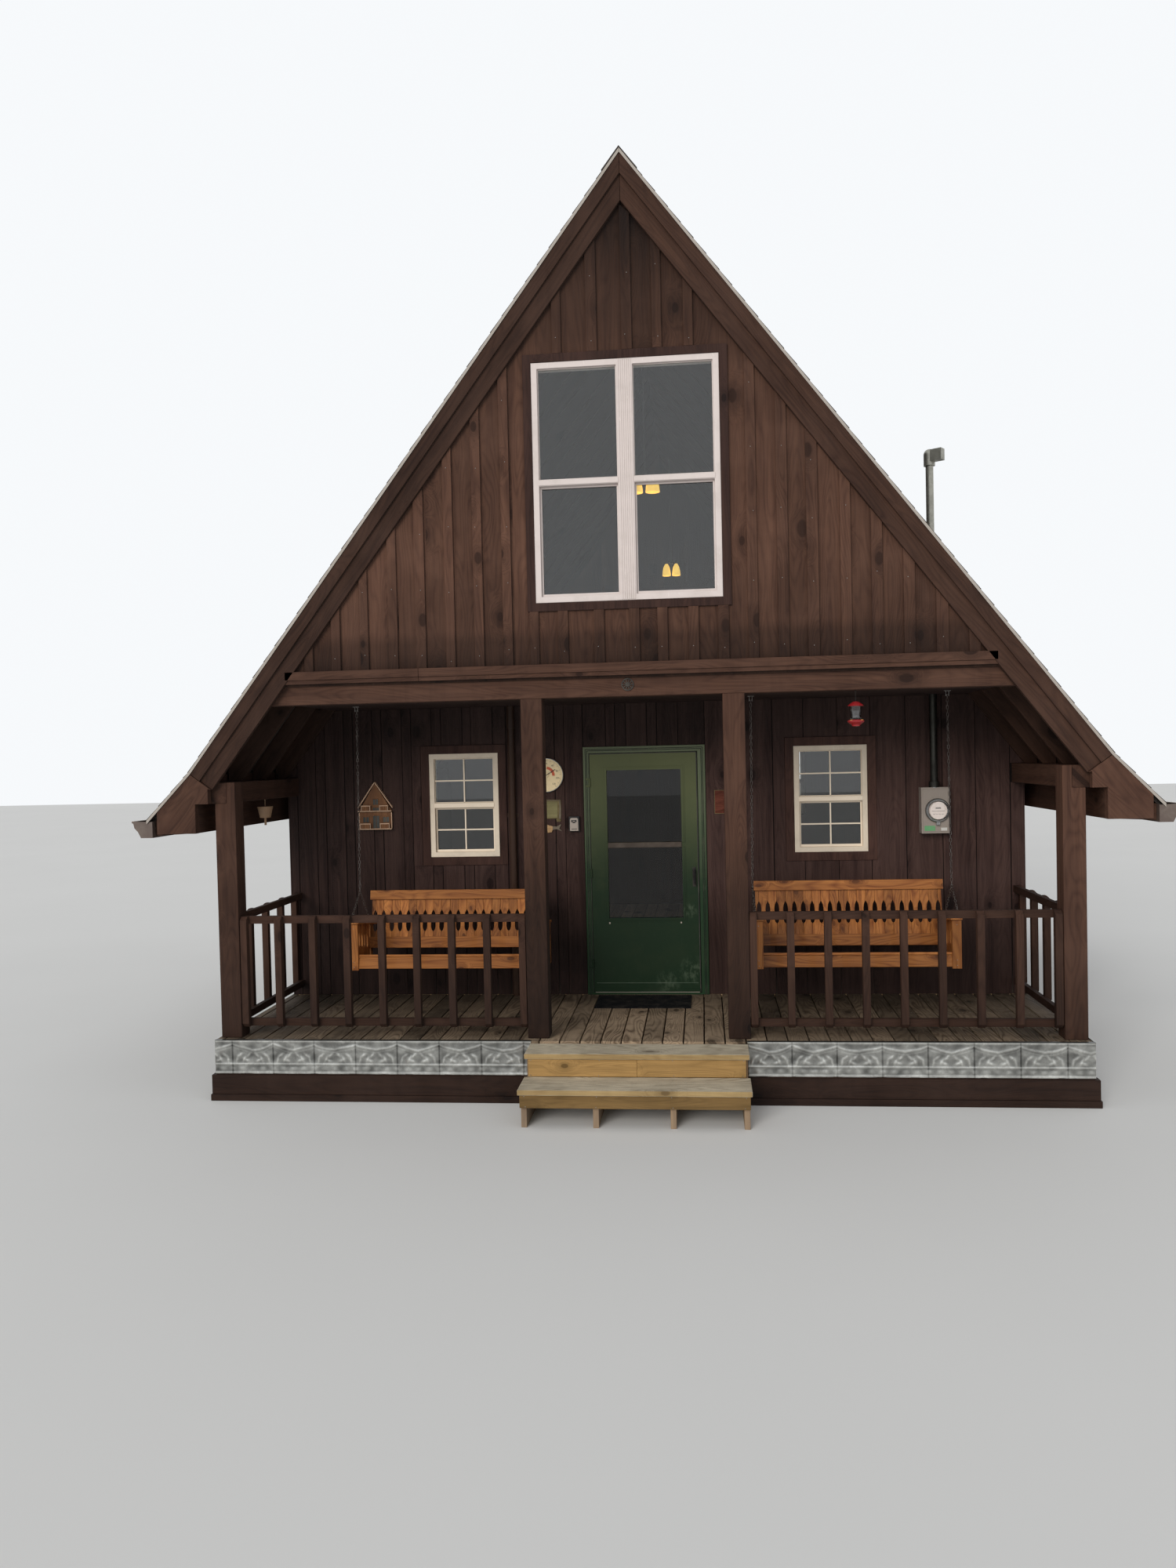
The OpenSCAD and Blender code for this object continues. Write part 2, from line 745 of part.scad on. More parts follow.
module sash_frame(w, h, n) {
    mid = 44;
    unit = (w - (n - 1)*30)/n;
    difference() {
        translate([-w/2, -14, 0]) cube([w, 94, h]);
        for (i = [0:n - 1]) {
            x0 = -w/2 + i*(unit + 30) + frame_face;
            for (z = [[frame_face, h/2 - mid/2], [h/2 + mid/2, h - frame_face]])
                translate([x0, -20, z[0]]) cube([unit - 2*frame_face, 110, z[1] - z[0]]);
        }
    }
}

module sash_glass(w, h, n) {
    mid = 44;
    unit = (w - (n - 1)*30)/n;
    for (i = [0:n - 1]) {
        x0 = -w/2 + i*(unit + 30) + frame_face + rest_gap;
        translate([x0, 34, frame_face + rest_gap])
            cube([unit - 2*frame_face - 2*rest_gap, 6, h/2 - mid/2 - frame_face - 2*rest_gap]);
        translate([x0, 12, h/2 + mid/2 + rest_gap])
            cube([unit - 2*frame_face - 2*rest_gap, 6, h/2 - mid/2 - frame_face - 2*rest_gap]);
    }
}

module casing(w, h, b) {
    translate([0, -trim_thick - rest_gap, 0]) difference() {
        translate([-w/2 - b, 0, -b]) cube([w + 2*b, trim_thick, h + 2*b]);
        translate([-w/2 - hair, -5, -hair]) cube([w + 2*hair, trim_thick + 10, h + 2*hair]);
    }
}

module at_windows() {
    for (s = [-1, 1]) {
        translate([s*window_x, porch_depth, window_sill]) children(0);
        translate([s*window_x, rear_siding, window_sill]) rotate([0, 0, 180]) children(0);
    }
    translate([0, siding_face, gable_window_sill]) children(1);
    translate([0, rear_siding, gable_window_sill]) rotate([0, 0, 180]) children(2);
}

module window_frames() {
    color([0.85, 0.82, 0.76]) porch() at_windows() {
        sash_frame(window_width, window_height, 1);
        sash_frame(gable_window_width, gable_window_height, 2);
        sash_frame(gable_window_width, rear_gable_height, 2);
    }
}

module window_glass() {
    color([0.5, 0.55, 0.58, 0.4]) porch() at_windows() {
        sash_glass(window_width, window_height, 1);
        sash_glass(gable_window_width, gable_window_height, 2);
        sash_glass(gable_window_width, rear_gable_height, 2);
    }
}

module window_casings() {
    color([0.24, 0.17, 0.16]) porch() at_windows() {
        casing(window_width, window_height, 70);
        casing(gable_window_width, gable_window_height, casing_wide);
        casing(gable_window_width, rear_gable_height, casing_wide);
    }
}

// Door

module door_frame() {
    color([0.2, 0.3, 0.2]) porch() difference() {
        union() {
            along_y(porch_depth - 22, porch_depth - rest_gap)
                polygon([[-casing_side, 0.6], [casing_side, 0.6],
                    [casing_side, casing_top], [-casing_side, casing_top]]);
            along_y(porch_depth - 5, porch_depth + wall_thick)
                polygon([[wall_hole_left + hair, 0.6], [wall_hole_right - hair, 0.6],
                    [wall_hole_right - hair, wall_hole_top - hair], [wall_hole_left + hair, wall_hole_top - hair]]);
        }
        block(jamb_left, jamb_right, porch_depth - 40, door_face + door_thick + door_gap,
            door_bottom - door_gap, jamb_top);
        block(jamb_left + 14, jamb_right - 14, porch_depth - 40, porch_depth + wall_thick + 5,
            door_bottom - door_gap, jamb_top - 14);
    }
}

module at_hinges() {
    for (z = [door_bottom + 240, (door_bottom + door_top)/2, door_top - 240])
        translate([door_left, hinge_y, z]) children();
}

module door_hinges() {
    color([0.2, 0.28, 0.2]) porch() at_hinges() {
        cylinder(h = 72, r = 4, center = true, $fn = 32);
        for (s = [-1, 1]) {
            translate([0, 0, s*29]) cylinder(h = 16, r = 7, center = true, $fn = 32);
            translate([-34, 1, s*29 - 8]) cube([30, porch_depth - 22 - rest_gap - hinge_y - 1, 16]);
        }
    }
}

module storm_door() {
    color([0.19, 0.32, 0.19]) porch() {
        difference() {
            union() {
                block(door_left, door_right, door_face, door_face + door_thick, door_bottom, door_top);
                at_hinges() {
                    cylinder(h = 41, r = 7, center = true, $fn = 32);
                    translate([2, 5, -20.5]) cube([30, 5, 41]);
                }
            }
            at_hinges() {
                cylinder(h = 60, r = 4 + rest_gap, center = true, $fn = 32);
            }
            door_light(0, door_face - 5, door_face + door_thick + 5);
        }
    }
}

module door_light(g, y0, y1) {
    block(glass_left + g, glass_right - g, y0, y1, glass_bottom + g, glass_middle - 20 - g);
    block(glass_left + g, glass_right - g, y0, y1, glass_middle + 20 + g, glass_top - g);
}

module storm_door_glass() {
    color([0.45, 0.5, 0.5, 0.4]) porch() door_light(rest_gap, door_face + 14, door_face + 19);
}

module door_handle() {
    color([0.15, 0.14, 0.13]) porch() {
        y0 = door_face - rest_gap;
        block(handle_x - 14, handle_x + 14, y0 - 6, y0, handle_z - 80, handle_z + 80);
        for (s = [-1, 1])
            translate([handle_x, y0 - 5, handle_z + s*50]) rotate([90, 0, 0]) cylinder(h = 40, r = 8, $fn = 24);
        translate([handle_x, y0 - 42, handle_z - 65]) cylinder(h = 130, r = 8, $fn = 24);
    }
}

// Railings

module baluster(z0, z1) {
    c = baluster_size*0.55;
    along_x(-baluster_size/2, baluster_size/2)
        polygon([[-baluster_size, z0 + c], [-baluster_size + c, z0], [0, z0], [0, z1],
            [-baluster_size + c, z1], [-baluster_size, z1 - c]]);
}

module railing(length, n) {
    block(0, length, 0, rail_depth, rail_top - rail_height, rail_top);
    block(0, length, 0, rail_depth, rail_bottom, rail_bottom + rail_height);
    for (i = [0:n - 1])
        translate([spread(n, i, baluster_size/2 + 4, length - baluster_size/2 - 4), 0.01, 0])
            baluster(rail_bottom - 2, rail_top + 1);
}

module front_railings() {
    color([0.26, 0.19, 0.18]) porch() both()
        translate([step_post_x + post_size/2 + rest_gap, baluster_size + 6, 0])
            railing(post_in - step_post_x - post_size/2 - 2*rest_gap, baluster_count);
}

module side_railings() {
    color([0.25, 0.18, 0.17]) porch() both()
        translate([half_width - 52, post_size + rest_gap, 0]) rotate([0, 0, 90])
            railing(porch_depth - post_size - 2*rest_gap, side_baluster_count);
}

// Swings

module swing_hooks() {
    color([0.4, 0.38, 0.36]) porch()
        for (c = [-swing_left_x, swing_right_x], s = [-1, 1]) translate([c + s*hook_spread, hook_y, 0]) {
            block(-24, 24, -20, 20, ceiling_under - 5, ceiling_under - rest_gap);
            for (e = [-1, 1]) translate([e*11, 0, 0]) block(-2, 2, -10, 10, hook_z - 10, ceiling_under - 4);
            translate([-12, 0, hook_z]) rotate([0, 90, 0]) cylinder(h = 24, r = hook_pin, $fn = 24);
        }
}

module swing(cx, drop) {
    w = swing_width;
    translate([cx, 0, 0]) {
        translate([0, seat_front, seat_height]) rotate([-seat_slope, 0, 0]) swing_seat(w);
        both() {
            block(w/2 - 68, w/2 - 1, seat_front - 27, seat_front + 1, seat_height - seat_rail - 30, arm_front + 4);
            translate([0, arm_y, arm_front]) rotate([-arm_slope, 0, 0])
                block(w/2 - 82, w/2 + 4, 0, arm_length, 0, arm_thick);
            block(w/2 - 36, w/2 - 2, seat_rear - 30, seat_rear + 42, 345, arm_under(seat_rear) + 8);
            along_x(w/2 - 32, w/2 - 16) side_panel();
        }
        translate([0, seat_rear - 15, back_foot]) rotate([-back_lean, 0, 0]) swing_back(w - 36, drop);
    }
}

module swing_seat(w) {
    z0 = -seat_board - seat_rail;
    block(-w/2, w/2, 0, 38, z0, -seat_board);
    block(-w/2, w/2, seat_depth - 38, seat_depth, z0 + 30, -seat_board);
    for (x = [-w/2 + 90, 0, w/2 - 90])
        block(x - 19, x + 19, 37, seat_depth - 37, z0 + 38, -seat_board);
    for (i = [0:5])
        block(-w/2 + 3, w/2 - 3, -8 + i*72, 56 + i*72, -seat_board - 1, 0);
}

module side_panel() {
    y0 = seat_front;
    y1 = seat_rear - 29;
    difference() {
        polygon([[y0, seat_at(y0) - 12], [y1, seat_at(y1) - 12], [y1, arm_under(y1) + 5], [y0, arm_under(y0) + 5]]);
        for (i = [0:4]) translate([y0 + 64 + i*slot_pitch, seat_at(y0 + 64 + i*slot_pitch) + 62]) lancet(34, 120);
    }
}

module swing_back(w, drop) {
    slats = (slot_count - 1)*slot_pitch + 57;
    along_y(0, 16) difference() {
        translate([-slats/2, 90]) square([slats, 470 - drop]);
        for (i = [0:slot_count - 1]) translate([(i - (slot_count - 1)/2)*slot_pitch, 249 - drop])
            lancet(36, 177);
    }
    block(-slats/2 - 12, slats/2 + 12, -24, 1, 508 - drop, 584 - drop);
    block(-w/2, w/2, -24, 1, 76, 165);
}

module lancet(w, h) {
    polygon([[0, 0], [w*0.3, h*0.06], [w*0.5, h*0.2], [w*0.5, h*0.66], [w*0.38, h*0.84], [0, h],
        [-w*0.38, h*0.84], [-w*0.5, h*0.66], [-w*0.5, h*0.2], [-w*0.3, h*0.06]]);
}

module swing_left() {
    color([0.74, 0.46, 0.22]) porch() swing(-swing_left_x, left_slat_drop);
}

module swing_right() {
    color([0.74, 0.46, 0.22]) porch() swing(swing_right_x, 0);
}

module link_rod(a, b, r) {
    d = b - a;
    l = norm(d);
    translate(a) rotate([0, acos(d[2]/l), atan2(d[1], d[0])]) cylinder(h = l, r = r, $fn = 12);
}

module swing_chains(cx) {
    for (s = [-1, 1]) translate([cx, 0, 0]) {
        top = [s*hook_spread, hook_y, hook_z];
        fork = [s*(hook_spread + 12), hook_y, 960];
        difference() {
            translate(top - [6, 0, 0]) rotate([0, 90, 0]) cylinder(h = 12, r = 15, $fn = 32);
            translate(top - [10, 0, 0]) rotate([0, 90, 0]) cylinder(h = 20, r = hook_pin + slip, $fn = 32);
        }
        link_rod(top - [0, 0, 12], fork, 5);
        translate(fork) sphere(r = 9, $fn = 16);
        for (y = [seat_front - 10, seat_rear + 30]) {
            foot = arm_under(y - 9) + arm_thick/cos(arm_slope) + rest_gap;
            link_rod(fork, [s*(swing_width/2 - 19), y, foot + 4], 5);
            translate([s*(swing_width/2 - 19), y, foot]) cylinder(h = 12, r = 9, $fn = 16);
        }
    }
}

module swing_left_chains() {
    color([0.42, 0.4, 0.38]) porch() swing_chains(-swing_left_x);
}

module swing_right_chains() {
    color([0.42, 0.4, 0.38]) porch() swing_chains(swing_right_x);
}

// Services on the wall

module meter_box() {
    color([0.55, 0.55, 0.52]) porch() {
        y1 = porch_depth - rest_gap;
        y0 = y1 - meter_depth;
        z = meter_bottom + meter_height/2;
        block(mast_x - meter_width/2, mast_x + meter_width/2, y0, y1, meter_bottom, meter_top);
        translate([mast_x + 14, y0 + 1, z]) rotate([90, 0, 0]) cylinder(h = 24, r = meter_ring, $fn = 64);
        translate([mast_x + 14, y0 - 22, z]) rotate([90, 0, 0]) cylinder(h = 66, r = meter_glass, $fn = 64);
    }
}

module service_mast() {
    color([0.5, 0.5, 0.48]) porch() {
        z0 = meter_top + rest_gap;
        translate([mast_x, mast_y, z0]) cylinder(h = mast_top - z0, r = mast_r, $fn = 40);
        translate([mast_x, mast_y, z0]) cylinder(h = 46, r = mast_r + 12, $fn = 40);
        translate([mast_x, mast_y, mast_top - 40]) cylinder(h = 90, r = mast_r + 14, $fn = 40);
        translate([mast_x, mast_y, mast_top + 50]) sphere(r = mast_r + 14, $fn = 40);
        translate([mast_x, mast_y - 10, mast_top + 30]) rotate([0, 0, -35]) block(20, 110, -34, 34, -40, 50);
    }
}

module wall_pipe() {
    color([0.24, 0.17, 0.15]) porch() translate([-pipe_x, 0, 0]) {
        y = porch_depth - pipe_r - 7;
        translate([0, y, rest_gap]) cylinder(h = ceiling_under - hair, r = pipe_r, $fn = 40);
        translate([0, y, ceiling_under - 191]) cylinder(h = 80, r = pipe_r + 5, $fn = 40);
        block(-pipe_r - 21, pipe_r + 21, porch_depth - 12, porch_depth - rest_gap, 1500, 1530);
    }
}

// Small things on the porch

module thermometer() {
    color([0.85, 0.8, 0.65]) porch()
        translate([-thermometer_x, porch_depth - rest_gap, thermometer_z]) rotate([90, 0, 0]) {
            cylinder(h = thermometer_thick, r = thermometer_r, $fn = 72);
            translate([0, 0, thermometer_thick - 1]) cylinder(h = 10, r = 20, $fn = 32);
        }
}

module wall_signs() {
    color([0.45, 0.35, 0.22]) porch() {
        y1 = porch_depth - rest_gap;
        x = -thermometer_x + 52;
        r = sign_width/2;
        translate([x, 0, sign_bottom]) along_y(y1 - 14, y1)
            polygon([[-r, 22], [r - 44, 22], [r - 40, -5], [r - 10, -5], [r - 2, 10], [r, 115],
                [r - 4, sign_height - 4], [-r, sign_height]]);
        translate([x, 0, fish_z]) along_y(y1 - 14, y1)
            polygon([[-57, 30], [-9, 16], [25, 14], [65, 34], [47, -2], [69, -27], [24, -9],
                [-10, -14], [-18, -33], [-53, -38]]);
        block(639 - plaque_width/2, 639 + plaque_width/2, y1 - 16, y1, plaque_bottom, plaque_bottom + plaque_height);
    }
}

module wall_ornament() {
    w = ornament_width/2;
    h = ornament_height;
    y = -rest_gap;
    color([0.55, 0.33, 0.16]) porch() translate([-ornament_x, porch_depth, ornament_bottom]) {
        along_y(y - 30, y)
            polygon([[-w, 0], [w, 0], [w, h*0.36], [w + 10, h*0.46], [0, h], [-w - 10, h*0.46], [-w, h*0.36]]);
        for (i = [0:2]) {
            z = i*h*0.22;
            block(-w - 6, w + 6, y - 60, y - 29, z, z + 8);
            block(-w, w, y - 60, y - 54, z + 34, z + 41);
        }
        for (i = [0:5]) translate([spread(6, i, -w, w - 8), 0, 0]) block(0, 8, y - 60, y - 54, 1, h*0.53);
    }
}

module key_box() {
    color([0.12, 0.12, 0.12]) porch() {
        y1 = porch_depth - rest_gap;
        z1 = key_box_bottom + key_box_height;
        block(-632, -546, y1 - 42, y1, key_box_bottom, z1);
        block(-623, -555, y1 - 46, y1 - 41, key_box_bottom + 6, z1 - 12);
    }
}

module hanging_feeder() {
    color([0.6, 0.15, 0.1]) porch() translate([feeder_x, 70, beam_bottom - feeder_drop]) {
        cylinder(h = 28, r = 30, $fn = 48);
        translate([0, 0, 26]) cylinder(h = 22, r = 58, $fn = 48);
        translate([0, 0, 47]) cylinder(h = 96, r1 = 30, r2 = 38, $fn = 48);
        translate([0, 0, 142]) cylinder(h = 30, r1 = 56, r2 = 16, $fn = 48);
        translate([0, 0, 165]) cylinder(h = feeder_drop - 165 - rest_gap, r = 3, $fn = 12);
    }
}

module cup_feeder() {
    color([0.62, 0.45, 0.3]) porch() translate([-cup_x, cup_y, plate_bottom - cup_drop]) {
        translate([0, 0, -90]) cylinder(h = 90, r1 = 42, r2 = 62, $fn = 40);
        translate([0, 0, -150]) cylinder(h = 62, r = 9, $fn = 24);
        translate([0, 0, -10]) cylinder(h = cup_drop + 10 - rest_gap, r = 4, $fn = 12);
    }
}

module beam_medallion() {
    color([0.12, 0.11, 0.11]) porch() translate([-23, -rest_gap, beam_bottom + 81]) rotate([90, 0, 0]) {
        difference() {
            cylinder(h = 8, r = 44, $fn = 48);
            translate([0, 0, -5]) cylinder(h = 20, r = 36, $fn = 48);
        }
        cylinder(h = 9, r = 15, $fn = 32);
        for (a = [0:36:324]) rotate([0, 0, a]) translate([11, -3, 1]) cube([29, 6, 6]);
    }
}

module loft_lamps() {
    color([0.85, 0.65, 0.3]) porch() {
        loft_lamp(16, rafter_y(5), lamp_z, -69, 84);
        loft_lamp(145, rafter_y(13), lamp_z - lamp_step, 85, 205);
    }
}

module loft_lamp(x, y0, z, a, b) {
    y = y0 + rafter_thick/2;
    t = frame_under + hair;
    along_y(y0 + 2, y0 + rafter_thick - 2)
        polygon([[x - 12, under(x - 12, t)], [x + 12, under(x + 12, t)], [x + 12, under(x + 12, t + 14)],
            [x - 12, under(x - 12, t + 14)]]);
    translate([x, y, z + 112]) cylinder(h = under(x, t + 7) - z - 112, r = 7, $fn = 24);
    translate([x, y, z + 100]) cylinder(h = 40, r = 24, $fn = 32);
    translate([min(a, x), y, z + 112]) rotate([0, 90, 0]) cylinder(h = max(b, x) - min(a, x), r = 8, $fn = 24);
    for (c = [a, b]) translate([c, y, z]) {
        sphere(r = lamp_r, $fn = 40);
        translate([0, 0, lamp_r - 8]) cylinder(h = 60, r = 20, $fn = 32);
    }
}

module doormat() {
    color([0.1, 0.1, 0.1]) porch()
        block(-mat_width/2 - 24, mat_width/2 - 24, mat_back - mat_depth, mat_back, rest_gap, 8);
}

base_timbers();
floor_joists();
porch_deck();
house_floor();
tin_apron();
step_stringers();
step_treads();
step_risers();
corner_posts();
step_posts();
porch_beam();
band_board();
wall_plates();
rafters();
loft_joists();
loft_floor();
porch_ceiling();
roof_left();
roof_right();
ridge_cap();
drip_edges();
rake_boards();
rake_trim();
eave_panels();
eave_boxes();
gutters();
gable_wall_front();
front_wall_left();
front_wall_right();
front_wall_over_door();
side_walls();
back_wall();
window_frames();
window_glass();
window_casings();
door_frame();
door_hinges();
storm_door();
storm_door_glass();
door_handle();
front_railings();
side_railings();
swing_hooks();
swing_left();
swing_left_chains();
swing_right();
swing_right_chains();
meter_box();
service_mast();
wall_pipe();
thermometer();
wall_signs();
wall_ornament();
key_box();
hanging_feeder();
cup_feeder();
beam_medallion();
loft_lamps();
doormat();
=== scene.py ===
import math
import random

import bmesh
import bpy
from bpy.props import FloatProperty, FloatVectorProperty, IntProperty, PointerProperty
from mathutils import Matrix, Vector
from mathutils import noise as waves


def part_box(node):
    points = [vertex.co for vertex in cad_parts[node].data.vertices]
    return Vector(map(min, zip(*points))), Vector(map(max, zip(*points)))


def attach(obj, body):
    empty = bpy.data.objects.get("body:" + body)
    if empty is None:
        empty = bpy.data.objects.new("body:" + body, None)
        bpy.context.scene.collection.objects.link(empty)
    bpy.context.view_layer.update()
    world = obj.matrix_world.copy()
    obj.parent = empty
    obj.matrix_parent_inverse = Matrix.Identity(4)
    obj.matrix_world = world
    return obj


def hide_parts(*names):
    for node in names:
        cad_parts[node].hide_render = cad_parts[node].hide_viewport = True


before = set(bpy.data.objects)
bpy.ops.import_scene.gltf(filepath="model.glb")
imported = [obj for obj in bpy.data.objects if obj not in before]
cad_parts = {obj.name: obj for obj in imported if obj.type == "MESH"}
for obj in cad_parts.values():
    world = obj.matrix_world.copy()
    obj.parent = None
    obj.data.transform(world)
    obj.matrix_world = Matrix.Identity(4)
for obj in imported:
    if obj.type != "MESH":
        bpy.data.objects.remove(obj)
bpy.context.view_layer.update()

bl_info = {
    "name": "A-frame cabin finish",
    "version": (1, 0, 0),
    "blender": (4, 5, 0),
    "location": "3D View > Sidebar > Cabin",
    "description": "Boards, shingles, windows, swings and finishes for a timber cabin with a porch",
    "category": "Object",
}

# Small gaps that keep pieces apart
HAIR = 0.0003
CLEAR = 0.0005
FLOOR_GAP = 0.0006

# The porch frame: x from the middle of the house, y from the post fronts back, z from the deck up.
DECK_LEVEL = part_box("corner_posts")[0][2] - HAIR
PORCH_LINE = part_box("corner_posts")[0][1]
SHIFT = Vector((0.0, PORCH_LINE, DECK_LEVEL))

HALF_WIDTH = 3.048
FRONT_WALL = 0.1203
SIDING = 0.019
WALL_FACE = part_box("side_walls")[0][1] - PORCH_LINE - FRONT_WALL
HOUSE_END = 7.315
REAR_FACE = HOUSE_END + SIDING
DOOR_FACE = 1.471
RIDGE_Z = 6.150
KNEE = (3.2075, 1.9396)
EAVE = (3.532, 1.6000)
MAIN_SLOPE = math.atan2(RIDGE_Z - KNEE[1], KNEE[0])
RAKE_FULL = 0.208
ROOF_FRONT = -0.080
ROOF_REAR = 7.395
WINDOW_X = 1.522
WINDOW_SILL = 1.170
WINDOW_SIZE = (0.590, 0.872)
WINDOW_RIM = 0.042
LOFT = 2.5
GABLE_SILL = 3.074
GABLE_HEIGHT = 1.666
REAR_GABLE_HEIGHT = 0.980
PLATE_UNDER = 1.712
BAND_TOP = 2.644
SWING_MIDDLES = {"swing_left": -1.510, "swing_right": 1.598}


# Sizes and colours

def length(label, value, low, high, about):
    return FloatProperty(name=label, default=value, min=low, max=high, unit="LENGTH", description=about)


class CabinSizes(bpy.types.PropertyGroup):
    batten_thick: length("Batten thickness", 0.019, 0.01, 0.03, "How far the battens stand out")
    board_thick: length("Wall board thickness", 0.009, 0.004, 0.015, "How far the rough boards stand out")
    board_gap: length("Gap between boards", 0.0075, 0.002, 0.012, "Open joint between two wall boards")
    deck_board: length("Deck board width", 0.1355, 0.09, 0.2, "Width of one deck board")
    deck_pitch: length("Deck board pitch", 0.1447, 0.095, 0.21, "Distance from deck board to deck board")
    course: length("Shingle course", 0.140, 0.1, 0.2, "Height of shingle that shows in each course")
    tab: length("Shingle tab", 0.305, 0.15, 0.4, "Width of one shingle tab")
    link_pitch: length("Chain link pitch", 0.027, 0.015, 0.04, "Distance from link to link")
    link_wire: length("Chain wire", 0.0042, 0.002, 0.007, "Thickness of the wire of the swing chains")
    tin_relief: length("Tin relief", 0.008, 0.001, 0.01, "Height of the embossing on the pressed tin")
    seed: IntProperty(name="Board seed", default=7, min=0, max=999,
                      description="Start of the random draws for boards and shingles")


def colour(label, value, about):
    return FloatVectorProperty(name=label, subtype="COLOR", size=3, default=value, min=0.0, max=1.0,
                               description=about)


class CabinColours(bpy.types.PropertyGroup):
    stain: colour("Stain", (0.097, 0.048, 0.031), "Brown stain on trim, posts and gable")
    stain_deep: colour("Deep stain", (0.041, 0.019, 0.013), "Darker grain of the stained wood")
    wall: colour("Wall boards", (0.052, 0.029, 0.024), "Rough boards of the lower walls")
    wall_deep: colour("Wall boards, deep", (0.018, 0.009, 0.008), "Knots and grain of the wall boards")
    pine: colour("Varnished pine", (0.47, 0.185, 0.050), "Swings")
    pine_deep: colour("Pine grain", (0.17, 0.048, 0.012), "Darker grain and knots of the swings")
    fresh_pine: colour("New pine", (0.385, 0.234, 0.088), "Step risers")
    deck: colour("Deck", (0.27, 0.200, 0.135), "Weathered deck boards")
    deck_deep: colour("Deck grain", (0.075, 0.050, 0.031), "Darker grain of the deck boards")
    tread: colour("Tread", (0.62, 0.55, 0.42), "Weathered step treads")
    tread_deep: colour("Tread grain", (0.33, 0.27, 0.19), "Darker grain of the step treads")
    cream: colour("Cream frames", (0.78, 0.67, 0.53), "Frames of the lower windows")
    white: colour("White frames", (0.70, 0.62, 0.59), "Frames of the gable window")
    green: colour("Door green", (0.012, 0.027, 0.013), "Enamel of the storm door, near the floor")
    tin: colour("Galvanised tin", (0.52, 0.52, 0.49), "Pressed tin round the base")
    shingle: colour("Shingles", (0.060, 0.050, 0.046), "Asphalt shingles")
    lumber: colour("Framing lumber", (0.52, 0.36, 0.20), "Joists and floors inside")


# Shader helpers

NO_SPLASH = -5.0
DUST = (0.30, 0.26, 0.21)


def put(tree, kind, inputs=None, **settings):
    """Adds a node, sets it up, and links or fills its inputs."""
    made = tree.nodes.new(kind)
    for key, value in settings.items():
        setattr(made, key, value)
    for key, value in (inputs or {}).items():
        if isinstance(value, bpy.types.NodeSocket):
            tree.links.new(value, made.inputs[key])
        else:
            made.inputs[key].default_value = value
    return made


def maths(tree, operation, a, b=0.0, clamp=False):
    return put(tree, "ShaderNodeMath", {0: a, 1: b}, operation=operation, use_clamp=clamp).outputs[0]


def plus(tree, a, b):
    return maths(tree, "ADD", a, b)


def minus(tree, a, b, clamp=False):
    return maths(tree, "SUBTRACT", a, b, clamp)


def times(tree, a, b):
    return maths(tree, "MULTIPLY", a, b)


def vectors(tree, operation, a, b):
    return put(tree, "ShaderNodeVectorMath", {0: a, 1: b}, operation=operation).outputs[0]


def stretched(tree, vector, x, y, z):
    return vectors(tree, "MULTIPLY", vector, (x, y, z))


def scaled(tree, vector, factor):
    return put(tree, "ShaderNodeVectorMath", {0: vector, "Scale": factor}, operation="SCALE").outputs[0]


def coordinates(tree):
    return put(tree, "ShaderNodeTexCoord").outputs["Object"]


def parts(tree, vector):
    return put(tree, "ShaderNodeSeparateXYZ", {0: vector}).outputs


def vector_of(tree, x, y, z=0.0):
    return put(tree, "ShaderNodeCombineXYZ", {0: x, 1: y, 2: z}).outputs[0]


def channel(tree, colour, index):
    return put(tree, "ShaderNodeSeparateColor", {0: colour}).outputs[index]


def ramp(tree, value, low, high, to_low=0.0, to_high=1.0, smooth=False):
    """Value from low to high becomes to_low to to_high."""
    kind = "SMOOTHSTEP" if smooth else "LINEAR"
    made = put(tree, "ShaderNodeMapRange", {0: value, 1: low, 2: high, 3: to_low, 4: to_high},
               interpolation_type=kind, clamp=True)
    return made.outputs[0]


def noise(tree, vector, scale, detail=3.0, rough=0.55):
    inputs = {"Vector": vector, "Scale": scale, "Detail": detail, "Roughness": rough}
    return put(tree, "ShaderNodeTexNoise", inputs).outputs[0]


def rgba(colour):
    return (colour[0], colour[1], colour[2], 1.0)


def toned(colour, factor):
    return [v * factor for v in colour]


def blend(tree, amount, a, b, mode="MIX"):
    """Mixes two colours."""
    made = put(tree, "ShaderNodeMix", {0: amount, 6: a, 7: b}, data_type="RGBA", blend_type=mode)
    return made.outputs[2]


def lay(tree, colour, mask, strength, over):
    """Lays a plain colour over another where a mask says so."""
    return blend(tree, times(tree, mask, strength), colour, rgba(over))


def shaded(tree, colour, factor):
    """Multiplies a colour by a factor."""
    grey = put(tree, "ShaderNodeCombineColor", {0: factor, 1: factor, 2: factor}).outputs[0]
    return blend(tree, 1.0, colour, grey, "MULTIPLY")


def board_number(tree):
    return put(tree, "ShaderNodeAttribute", attribute_name="board").outputs["Fac"]


def board_tone(tree, board, low, high):
    """A shade of its own for each board."""
    return ramp(tree, maths(tree, "FRACT", plus(tree, board, 0.5)), 0.0, 1.0, low, high)


def surface(tree, skin, colour, roughness, strength, distance, height):
    """Gives the shader its colour, roughness and bump."""
    tree.links.new(colour, skin.inputs["Base Color"])
    tree.links.new(roughness, skin.inputs["Roughness"])
    bump = put(tree, "ShaderNodeBump", {"Strength": strength, "Distance": distance, "Height": height})
    tree.links.new(bump.outputs[0], skin.inputs["Normal"])


# Node groups

